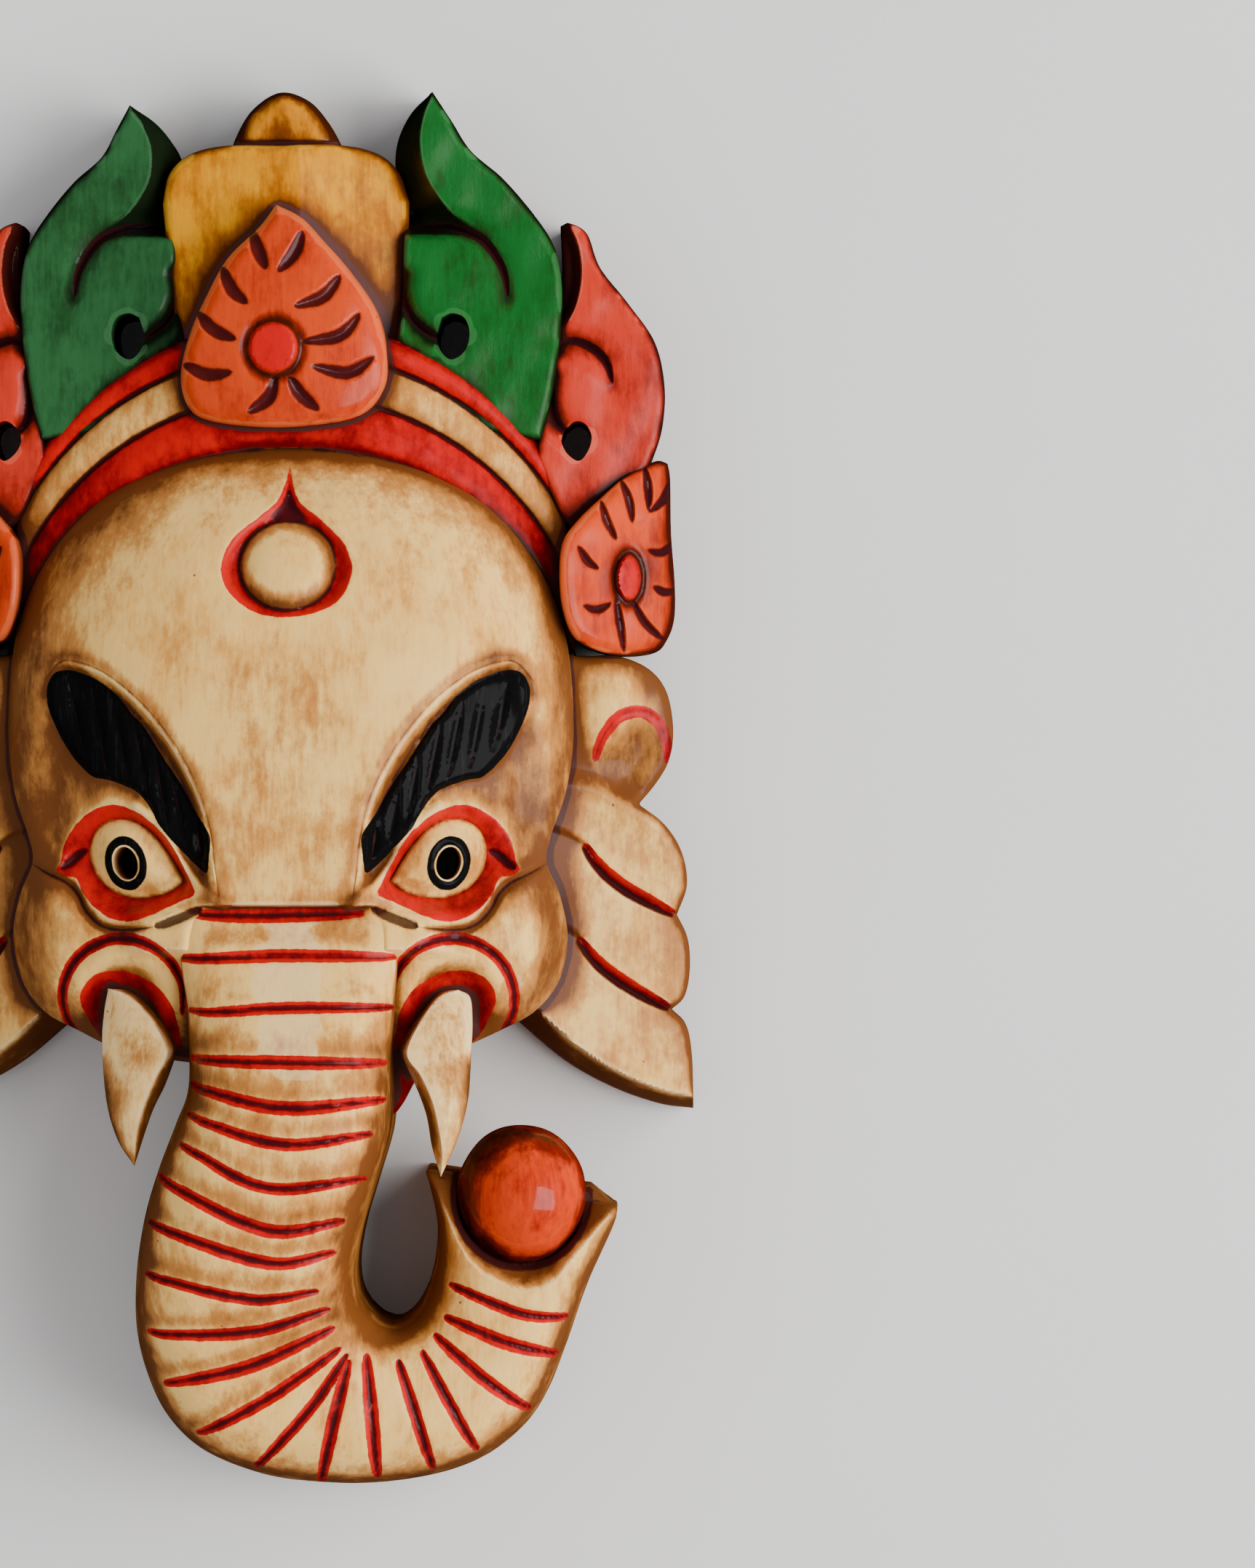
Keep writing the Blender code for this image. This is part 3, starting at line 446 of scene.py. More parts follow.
@dataclass
class Relief:
    """A carved surface inside an outline, with walls below it.

    Attributes:
        name: The piece's name.
        loop: The closed outline.
        top: The height of the carved surface.
        spacing: The distance between vertices.
        marks: What is cut and painted on it.
        holes: Loops that go right through.
        rows: More lines that the mesh follows.
        back: The height of the underside. None for a flat one.
        floor: The height of a flat underside.
        slant: How far the holes run towards the right ear on their way down.
    """

    name: str
    loop: np.ndarray
    top: Surface
    spacing: float = 0.6
    marks: Marks = field(default_factory=Marks)
    holes: Sequence[np.ndarray] = ()
    rows: Sequence[np.ndarray] = ()
    back: Surface | None = None
    floor: float = 7.0
    slant: float = 0.0

    def ring_rows(self) -> list[np.ndarray]:
        """Lines beside the outline and the holes, where the surface turns down fast."""
        made = []
        for loop, turn in [(self.loop, 1), *((hole, -1) for hole in self.holes)]:
            across = inwards(loop) * turn
            for offset in RIM_ROWS:
                row = loop + across * offset
                gap, _ = nearest(closed_line(loop), row[:, 0], row[:, 1], 3.0)
                made.append(row[gap > 0.93 * offset])
        return made

    def sheet(self) -> tuple[np.ndarray, np.ndarray]:
        """Triangulates the outline.

        Returns:
            The flat points and the triangles.
        """
        low, high = self.loop.min(0), self.loop.max(0)
        rows = np.arange(low[1], high[1], self.spacing * math.sqrt(3) / 2)
        columns = np.arange(low[0], high[0], self.spacing)
        x = np.concatenate([columns + self.spacing / 2 * (i % 2) for i in range(len(rows))])
        y = np.repeat(rows, len(columns))
        lines = [row for row in [*self.ring_rows(), *self.marks.rows(), *self.rows] if len(row) > 1]
        keep = inside(self.loop, x, y)
        for line in [*map(closed_line, (self.loop, *self.holes)), *lines]:
            gap, _ = nearest(line, x[keep], y[keep], self.spacing)
            keep[np.flatnonzero(keep)[gap < 0.55 * self.spacing]] = False
        extra = np.vstack([line[:, :2] for line in lines])
        extra = extra[depth_in(self.loop, extra[:, 0], extra[:, 1], 1.0) > RIM_CLEARANCE]
        free = np.vstack([extra, np.stack([x, y], 1)[keep]])
        for hole in self.holes:
            free = free[depth_in(hole, free[:, 0], free[:, 1], 1.0) < -RIM_CLEARANCE]
        cells = np.unique(np.round(free / VERTEX_CELL), axis=0, return_index=True)[1]
        return plate([self.loop], self.holes, free[np.sort(cells)], 1e-5)

    def build(self) -> bpy.types.Object:
        """Makes the closed piece."""
        flat, faces = self.sheet()
        x, y = flat[:, 0], flat[:, 1]
        upper = np.stack([x, y, self.top(x, y) - self.marks.cut(x, y)], 1)
        if self.back is None:
            piece = mesh_object(self.name, upper, faces)
            self.close_flat(piece)
        else:
            lower = np.stack([x, y, self.back(x, y)], 1)
            for hole in self.holes:
                lower[:, 0] += self.slant * np.sign(x) * smoothstep(depth_in(hole, x, y, 6.0), -4.0, -0.1)
            piece = block(self.name, upper, lower, faces)
        point_outwards(piece)
        bpy.ops.object.shade_smooth_by_angle(angle=math.radians(50))
        return piece

    def close_flat(self, piece: bpy.types.Object) -> None:
        """Extrudes the rim down to the flat underside and fills it."""
        bpy.ops.object.mode_set(mode="EDIT")
        bpy.ops.mesh.select_all(action="SELECT")
        bpy.ops.mesh.region_to_loop()
        bpy.ops.mesh.extrude_edges_move()
        bpy.ops.transform.resize(value=(1, 1, 0), center_override=(0, 0, self.floor * MM))
        bpy.ops.mesh.fill()
        bpy.ops.object.mode_set(mode="OBJECT")


# Shader wiring


class Wire:
    """A node's output that takes part in sums, so that shader maths reads as maths."""

    def __init__(self, board: "Board", socket: bpy.types.NodeSocket) -> None:
        """Wraps a socket of a board."""
        self.board, self.socket = board, socket

    def maths(self, operation: str, *others: "Wire | float", first: "Wire | float | None" = None) -> "Wire":
        """Adds a Math node: this wire and the others, or first ahead of this wire."""
        values = (self, *others) if first is None else (first, self)
        node = self.board.node("ShaderNodeMath", {"operation": operation}, dict(enumerate(values)))
        return Wire(self.board, node.outputs[0])

    def __add__(self, other: "Wire | float") -> "Wire":
        """The sum."""
        return self.maths("ADD", other)

    def __sub__(self, other: "Wire | float") -> "Wire":
        """The difference."""
        return self.maths("SUBTRACT", other)

    def __rsub__(self, other: float) -> "Wire":
        """The difference from a number."""
        return self.maths("SUBTRACT", first=other)

    def __mul__(self, other: "Wire | float") -> "Wire":
        """The product."""
        return self.maths("MULTIPLY", other)

    def rise(self, low: float, high: float) -> "Wire":
        """A smooth rise from 0 at low to 1 at high."""
        node = self.board.node(
            "ShaderNodeMapRange", {"interpolation_type": "SMOOTHSTEP"},
            {"Value": self, "From Min": low, "From Max": high},
        )
        return Wire(self.board, node.outputs[0])

    def clamped(self) -> "Wire":
        """Held between 0 and 1."""
        return Wire(self.board, self.board.node("ShaderNodeClamp", {}, {"Value": self}).outputs[0])


class Board:
    """The nodes of one material."""

    def __init__(self, name: str) -> None:
        """Starts a material with a bare Principled shader."""
        self.material = bpy.data.materials.new(name)
        self.material.use_nodes = True
        self.tree = self.material.node_tree
        self.shader = self.tree.nodes["Principled BSDF"]
        self.coordinates = Wire(self, self.node("ShaderNodeTexCoord", {}, {}).outputs["Object"])

    def node(self, kind: str, settings: dict, inputs: dict) -> bpy.types.Node:
        """Adds a node.

        Args:
            kind: The node's type.
            settings: Its own settings, which are set first.
            inputs: The value or wire of each socket, by name or number.

        Returns:
            The node.
        """
        node = self.tree.nodes.new(kind)
        for name, value in settings.items():
            setattr(node, name, value)
        for name, value in inputs.items():
            self.feed(node.inputs[name], value)
        return node

    def feed(self, socket: bpy.types.NodeSocket, value: "Wire | float | tuple[float, ...]") -> None:
        """Links a wire to a socket, or sets its value."""
        if isinstance(value, Wire):
            self.tree.links.new(value.socket, socket)
        else:
            socket.default_value = value

    def number(self, name: str) -> Wire:
        """A number stored on the piece's vertices."""
        return Wire(self, self.node("ShaderNodeAttribute", {"attribute_name": name}, {}).outputs["Fac"])

    def noise(self, size: float, detail: float = 4.0, stretch: tuple[float, float, float] = (1, 1, 1),
              rough: float = 0.55) -> Wire:
        """Noise with features of a size.

        Args:
            size: The size of its blotches, in millimetres.
            detail: How many finer layers it has.
            stretch: How many times longer the blotches are along each axis.
            rough: The strength of the finer layers.

        Returns:
            The noise, about 0.2 to 0.8.
        """
        scale = tuple(1 / (size * MM * s) for s in stretch)
        mapped = self.node("ShaderNodeMapping", {}, {"Vector": self.coordinates, "Scale": scale})
        node = self.node("ShaderNodeTexNoise", {}, {"Vector": Wire(self, mapped.outputs[0]), "Scale": 1.0,
                                                    "Detail": detail, "Roughness": rough})
        return Wire(self, node.outputs["Fac"])

    def specks(self, size: float, share: float) -> Wire:
        """Small scattered spots.

        Args:
            size: The distance between the cells that may hold a spot, in millimetres.
            share: The spots' radius as a share of it.

        Returns:
            1 in a spot and 0 outside.
        """
        node = self.node("ShaderNodeTexVoronoi", {}, {"Vector": self.coordinates, "Scale": 1 / (size * MM)})
        spot = 1 - Wire(self, node.outputs["Distance"]).rise(share * 0.6, share)
        pick = self.node("ShaderNodeSeparateColor", {}, {"Color": Wire(self, node.outputs["Color"])})
        return spot * Wire(self, pick.outputs[0]).rise(0.62, 0.66)

    def mix(self, share: Wire | float, one: Wire | Colour, two: Wire | Colour) -> Wire:
        """A mix of two colours."""
        one, two = (linear_colour(colour) if isinstance(colour, tuple) else colour for colour in (one, two))
        node = self.node("ShaderNodeMix", {"data_type": "RGBA"}, {0: share, 6: one, 7: two})
        return Wire(self, node.outputs[2])


def linear_colour(colour: Colour) -> tuple[float, float, float, float]:
    """A colour by its 0 to 255 values on a screen, as a socket takes it."""
    linear = [(v / 255 / 12.92) if v <= 10 else ((v / 255 + 0.055) / 1.055) ** 2.4 for v in colour]
    return (*linear, 1.0)


@dataclass(frozen=True)
class Lacquer:
    """Paint rubbed with brown wax, under varnish.

    Attributes:
        name: The material's name.
        light: The paint where it is cleanest.
        deep: The paint where the brush left it thicker.
        tan: The paint's colour under thin wax, and under light painted shade.
        brown: The colour of thick wax on it, and of deep painted shade.
        crust: The wax that fills crevices.
        streak: How much the brushing shows.
        grime: How far the wax spreads out of the crevices.
        worn: The colour that shows along rubbed edges.
        worn_share: How much of it shows.
        gloss: The roughness of the paint.
        coat: The share of clear varnish over it.
        shine: The strength of the paint's own mirroring.
        haze: The roughness of the varnish.
    """

    name: str
    light: Colour
    deep: Colour
    tan: Colour
    brown: Colour
    crust: Colour = (84, 50, 50)
    streak: float = 0.5
    grime: float = 1.0
    worn: Colour = (236, 216, 176)
    worn_share: float = 0.3
    gloss: float = 0.36
    coat: float = 0.2
    shine: float = 0.25
    haze: float = 0.17

    def material(self) -> bpy.types.Material:
        """Wires the material."""
        board = Board(self.name)
        wax, rub, crevice = board.number("wax"), board.number("rub"), board.number("crevice")
        blotch = board.noise(13.0, 6.0, (1, 1.5, 1), 0.62)
        brush = board.noise(1.1, 3.0, (1, 7, 1), 0.6)
        fine = board.noise(2.4, 5.0, (1, 1.6, 1), 0.65)
        patch = board.noise(5.5, 5.0, (1, 2.2, 1), 0.7)
        ground = board.mix((blotch * 1.1 + (brush - 0.5) * self.streak + fine * 0.3 - 0.15).rise(0.38, 0.86),
                           self.light, self.deep)
        # The wax number also carries painted shade: the forehead's left side and the sweet's upper left.
        spread = (wax * self.grime + (fine - 0.5) * 0.4 + (blotch - 0.5) * 0.8 + (brush - 0.5) * 0.25
                  + (patch - 0.5) * 0.85)
        aged = board.mix(spread.rise(0.02, 0.46) * 0.92, ground, self.tan)
        aged = board.mix(spread.rise(0.34, 0.9), aged, self.brown)
        aged = board.mix((rub + (fine - 0.5) * 0.9).rise(0.45, 0.8) * self.worn_share, aged, self.worn)
        black = (board.number("black") + (fine - 0.5) * 0.45).rise(-0.1, 0.12)
        aged = self.with_paints(board, aged, wax, fine, blotch, black)
        crust = (crevice + (fine - 0.5) * 0.5).rise(0.5, 0.95) * 0.95
        aged = board.mix(crust, aged, self.crust)
        aged = board.mix(board.specks(7.0, 0.055) * 0.75, aged, (48, 26, 12))
        board.feed(board.shader.inputs["Base Color"], aged)
        self.with_varnish(board, spread, brush, fine, black)
        return board.material

    @staticmethod
    def with_paints(board: Board, ground: Wire, wax: Wire, fine: Wire, blotch: Wire, black: Wire) -> Wire:
        """Lays the red and black paint, painted glints in the black, and the gouges' dark wax over the ground."""
        wobble = (fine - 0.5) * 0.75
        red = (board.number("red") + wobble).rise(-0.1, 0.16)
        tone = (blotch + fine * 0.8 + wax * 0.3).rise(0.8, 1.45)
        scarlet = board.mix(tone, (204, 12, 14), (108, 5, 10))
        mixed = board.mix(red, ground, scarlet)
        # Grey streaks through the black paint are painted glints.
        glint_streaks = board.noise(0.9, 2.0, (1, 9, 1), 0.5)
        black_with_glints = board.mix(glint_streaks.rise(0.55, 0.75) * 0.35, (9, 9, 10), (40, 39, 40))
        mixed = board.mix(black, mixed, black_with_glints)
        return board.mix((board.number("dark") + wobble).rise(-0.25, 0.35) * 0.92, mixed, (52, 14, 20))

    def with_varnish(self, board: Board, spread: Wire, brush: Wire, fine: Wire, black: Wire) -> None:
        """Sets the gloss and the small unevenness of the varnish."""
        shader = board.shader
        rough = spread * 0.06 + fine * 0.14 + black * 0.5 + (self.gloss - 0.08)
        board.feed(shader.inputs["Roughness"], rough.clamped())
        board.feed(shader.inputs["Coat Weight"], (self.coat - black * (0.4 * self.coat)).clamped())
        shader.inputs["IOR"].default_value = 1.32
        shader.inputs["Specular IOR Level"].default_value = self.shine
        shader.inputs["Coat Roughness"].default_value = self.haze
        pores = board.noise(0.5, 2.0, (1, 2.5, 1), 0.5)
        height = fine * 0.5 + brush * 0.3 + pores * 0.12 + board.noise(5.0, 2.0) * 0.3
        bump = board.node("ShaderNodeBump", {}, {"Strength": 0.32, "Distance": 0.0006, "Height": height})
        board.feed(shader.inputs["Normal"], Wire(board, bump.outputs[0]))


@dataclass(frozen=True)
class RawWood:
    """The bare wood of the back, stained and marked by the gouge."""

    name: str = "raw_wood"
    pale: Colour = (168, 124, 80)
    dark: Colour = (112, 74, 42)

    def material(self) -> bpy.types.Material:
        """Wires the material."""
        board = Board(self.name)
        grain = board.noise(1.2, 5.0, (1, 16, 1), 0.6)
        stain = board.noise(26.0, 4.0, (1, 1.4, 1))
        colour = board.mix((grain * 0.8 + stain * 0.7).rise(0.5, 1.0), self.pale, self.dark)
        board.feed(board.shader.inputs["Base Color"], colour)
        board.feed(board.shader.inputs["Roughness"], (grain * 0.2 + 0.6).clamped())
        cells = board.node("ShaderNodeMapping", {}, {"Vector": board.coordinates, "Scale": (170.0, 80.0, 170.0)})
        marks = board.node("ShaderNodeTexVoronoi", {"feature": "SMOOTH_F1"},
                           {"Vector": Wire(board, cells.outputs[0]), "Scale": 1.0})
        height = Wire(board, marks.outputs["Distance"]) * 1.2 + grain * 0.35
        bump = board.node("ShaderNodeBump", {}, {"Strength": 0.5, "Distance": 0.0012, "Height": height})
        board.feed(board.shader.inputs["Normal"], Wire(board, bump.outputs[0]))
        return board.material


class Paint(Enum):
    """The paints of the mask."""

    CREAM = Lacquer("cream_lacquer", (252, 202, 112), (234, 166, 76), (192, 122, 54), (112, 62, 26), (72, 38, 34))
    STRIPED = replace(CREAM, name="striped_lacquer", coat=0.1, shine=0.12)
    IVORY = Lacquer("ivory_lacquer", (250, 208, 134), (232, 178, 98), (178, 110, 46), (98, 54, 20), (70, 36, 16),
                    streak=0.9)
    GREEN = Lacquer("green_lacquer", (24, 96, 36), (18, 76, 22), (28, 58, 18), (14, 26, 10), (12, 12, 12),
                    worn=(70, 136, 80), worn_share=0.25, gloss=0.3, grime=1.4)
    BLUE_GREEN = Lacquer("blue_green_lacquer", (46, 100, 56), (32, 76, 38), (30, 58, 28), (16, 28, 14),
                         (12, 12, 13), worn=(90, 140, 94), worn_share=0.25, gloss=0.3, grime=1.4)
    YELLOW = Lacquer("yellow_lacquer", (228, 154, 2), (200, 116, 1), (160, 86, 4), (92, 44, 8),
                     worn=(240, 190, 60), gloss=0.3, coat=0.22, shine=0.12)
    OCHRE = Lacquer("ochre_lacquer", (212, 134, 10), (168, 88, 4), (116, 54, 6), (62, 24, 4),
                    worn=(226, 160, 40), gloss=0.28, grime=1.3, coat=0.5)
    ORANGE = Lacquer("orange_lacquer", (212, 66, 18), (182, 44, 10), (142, 34, 10), (66, 18, 8), (58, 18, 14),
                     worn=(238, 120, 66), worn_share=0.4, gloss=0.28, coat=0.35)
    CORAL = Lacquer("coral_lacquer", (206, 52, 32), (178, 36, 20), (134, 28, 18), (56, 16, 12), (46, 16, 14),
                    worn=(230, 110, 80), worn_share=0.4, gloss=0.3, coat=0.25)
    UMBER = Lacquer("umber_lacquer", (140, 84, 40), (110, 62, 28), (92, 50, 22), (64, 36, 18), worn_share=0.1,
                    gloss=0.4)
    # The sweet's brown is also the near-black painted shade of its upper left.
    SWEET = Lacquer("sweet_lacquer", (214, 62, 16), (170, 32, 8), (112, 20, 8), (40, 8, 5), (48, 10, 10),
                    grime=0.55, worn=(226, 90, 40), worn_share=0.2, gloss=0.26, coat=0.5, haze=0.07)


@dataclass(frozen=True)
class Gather:
    """How wax gathers in hollows of one size, by how far a place lies below the blurred height.

    Attributes:
        reach: How far the height is blurred.
        full: How far below it the wax is full.
        least: The least that it takes away on a raised place.
        most: The most that it adds.
        weight: Its share of the wax.
    """

    reach: float
    full: float
    least: float
    most: float
    weight: float


GATHERS = {"fine": Gather(0.9, 1.0, -0.3, 1.1, 0.42), "middle": Gather(3.2, 2.6, -0.25, 1.2, 0.42),
           "wide": Gather(8.0, 7.0, -0.3, 1.1, 0.36)}


@dataclass
class Workshop:
    """Keeps the finished pieces, and rubs the wax into all of them at the end.

    Attributes:
        pitch: The size of a cell of the height map.
        back_height: The height up to which a place counts as outside the mask.
        pieces: Each piece with its paint marks, the width of the brown along its outline, and the outline.
    """

    pitch: float = 0.6
    back_height: float = 8.0
    pieces: list[tuple[bpy.types.Object, Marks, float, np.ndarray | None]] = field(default_factory=list)

    def finish(self, piece: bpy.types.Object, paint: Paint, marks: Marks | None = None,
               brown_rim: float = 0.0, loop: np.ndarray | None = None, raw_back: bool = True) -> None:
        """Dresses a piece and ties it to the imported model.

        Args:
            piece: The finished mesh.
            paint: Its paint.
            marks: What is painted on it.
            brown_rim: How far the wax reaches in from its outline.
            loop: The outline.
            raw_back: Whether its underside is bare wood.
        """
        for look in (paint.value, RawWood()) if raw_back else (paint.value,):
            piece.data.materials.append(bpy.data.materials.get(look.name) or look.material())
        if raw_back:
            underside = upward(piece.data.polygons, "normal") < -0.3
            piece.data.polygons.foreach_set("material_index", underside.astype(np.int32))
        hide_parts(NODE)
        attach(piece, BODY)
        self.pieces.append((piece, marks or Marks(), brown_rim, loop))
        log.info("%s: %d faces in %s", piece.name, len(piece.data.polygons), paint.value.name)

    def height_map(self) -> tuple[np.ndarray, np.ndarray]:
        """The height of the whole mask over a grid, and where it has one."""
        low, high = np.array(CAD_BOX[0])[:2] / MM - 4, np.array(CAD_BOX[1])[:2] / MM + 4
        size = np.ceil((high - low) / self.pitch).astype(int) + 1
        heights = np.zeros(size)
        for piece, *_ in self.pieces:
            points = vertex_array(piece)
            faces = piece.data
            faces.calc_loop_triangles()
            corners = np.empty(len(faces.loop_triangles) * 3, np.int32)
            faces.loop_triangles.foreach_get("vertices", corners)
            triangles = points[corners.reshape(-1, 3)]
            small = np.ptp(triangles[:, :, :2], axis=1).max(1) < 3.0
            samples = np.vstack([points, triangles[small].mean(1)])
            cells = ((samples[:, :2] - low) / self.pitch).round().astype(int)
            np.maximum.at(heights, (cells[:, 0], cells[:, 1]), samples[:, 2])
        for _ in range(2):
            around = np.stack([np.roll(heights, shift, axis) for shift in (-1, 1) for axis in (0, 1)])
            gap = (heights < self.back_height) & ((around > self.back_height).sum(0) >= 3)
            heights = np.where(gap, around.max(0), heights)
        return heights, low

    @staticmethod
    def blurred(values: np.ndarray, reach: float) -> np.ndarray:
        """Values blurred over a reach counted in cells."""
        half = int(3 * reach) + 1
        kernel = np.exp(-0.5 * (np.arange(-half, half + 1) / reach) ** 2)
        kernel /= kernel.sum()
        for axis in (0, 1):
            values = np.apply_along_axis(lambda row: np.convolve(row, kernel, mode="same"), axis, values)
        return values

    @staticmethod
    def sampled(values: np.ndarray, place: np.ndarray) -> np.ndarray:
        """The values of a grid between its cells, at places counted in cells."""
        cell = np.clip(np.floor(place).astype(int), 0, np.array(values.shape) - 2)
        part = place - cell
        i, j = cell.T
        a = values[i, j] * (1 - part[:, 0]) + values[i + 1, j] * part[:, 0]
        b = values[i, j + 1] * (1 - part[:, 0]) + values[i + 1, j + 1] * part[:, 0]
        return a * (1 - part[:, 1]) + b * part[:, 1]

    def rub_wax(self) -> None:
        """Works out where the wax stays and what is rubbed bare, from the shape of the whole mask."""
        heights, low = self.height_map()
        solid = (heights > self.back_height).astype(float)
        maps = {}
        for name, gather in GATHERS.items():
            cells = gather.reach / self.pitch
            weight = self.blurred(solid, cells)
            maps[name] = self.blurred(heights * solid, cells) / np.maximum(weight, 1e-3)
        for piece, marks, brown_rim, loop in self.pieces:
            points = vertex_array(piece)
            x, y, z = points.T
            place = (points[:, :2] - low) / self.pitch
            hollow = {name: self.sampled(values, place) - z for name, values in maps.items()}
            wax = sum(np.clip(hollow[name] / gather.full, gather.least, gather.most) * gather.weight
                      for name, gather in GATHERS.items())
            crevice = np.clip(hollow["fine"], 0, 1.5) * 0.8 + np.clip(hollow["middle"], 0, 2.5) / 8 - 0.3
            crevice = np.clip(crevice, 0, 1.5)
            if loop is not None and brown_rim:
                rim = np.clip(depth_in(loop, x, y, 3 * brown_rim), 0, None)
                wax += 0.75 * np.exp(-rim / brown_rim)
                crevice *= smoothstep(rim, 0.3, 1.6) if brown_rim > 4 else 1.0
            paints = marks.paint(x, y)
            stain = paints.pop("stain")
            # The stain also holds painted shade: the forehead's left side and the sweet's upper left.
            wax += stain
            crevice *= np.clip(1 + stain, 0, 1)
            level = smoothstep(upward(piece.data.vertex_normals, "vector"), 0.15, 0.6)
            wax = wax * level + np.clip(wax, 0.42, 0.75) * (1 - level)
            keep_number(piece, "crevice", crevice * level)
            keep_number(piece, "wax", np.clip(wax, 0, 1.5))
            keep_number(piece, "rub", np.clip(-hollow["fine"] / 0.5, 0, 1.5) * (1 - smoothstep(wax, 0.35, 0.7)))
            below = np.clip(hollow["fine"] - 3.5, 0, None) * (1 - level)
            for name, values in paints.items():
                keep_number(piece, name, np.maximum(values - below, -FAR))


# The head


@dataclass
class Hollow:
    """The hollow cut behind the face."""

    width: float = 106.0
    length: float = 130.0
    depth: float = 49.0
    centre_y: float = 8.0

    def height(self, x: np.ndarray, y: np.ndarray) -> np.ndarray:
        """The height of the hollow's roof. Nought outside it."""
        share = (x / (self.width / 2)) ** 2 + ((y - self.centre_y) / (self.length / 2)) ** 2
        return self.depth * np.sqrt(np.clip(1 - share, 0, 1))


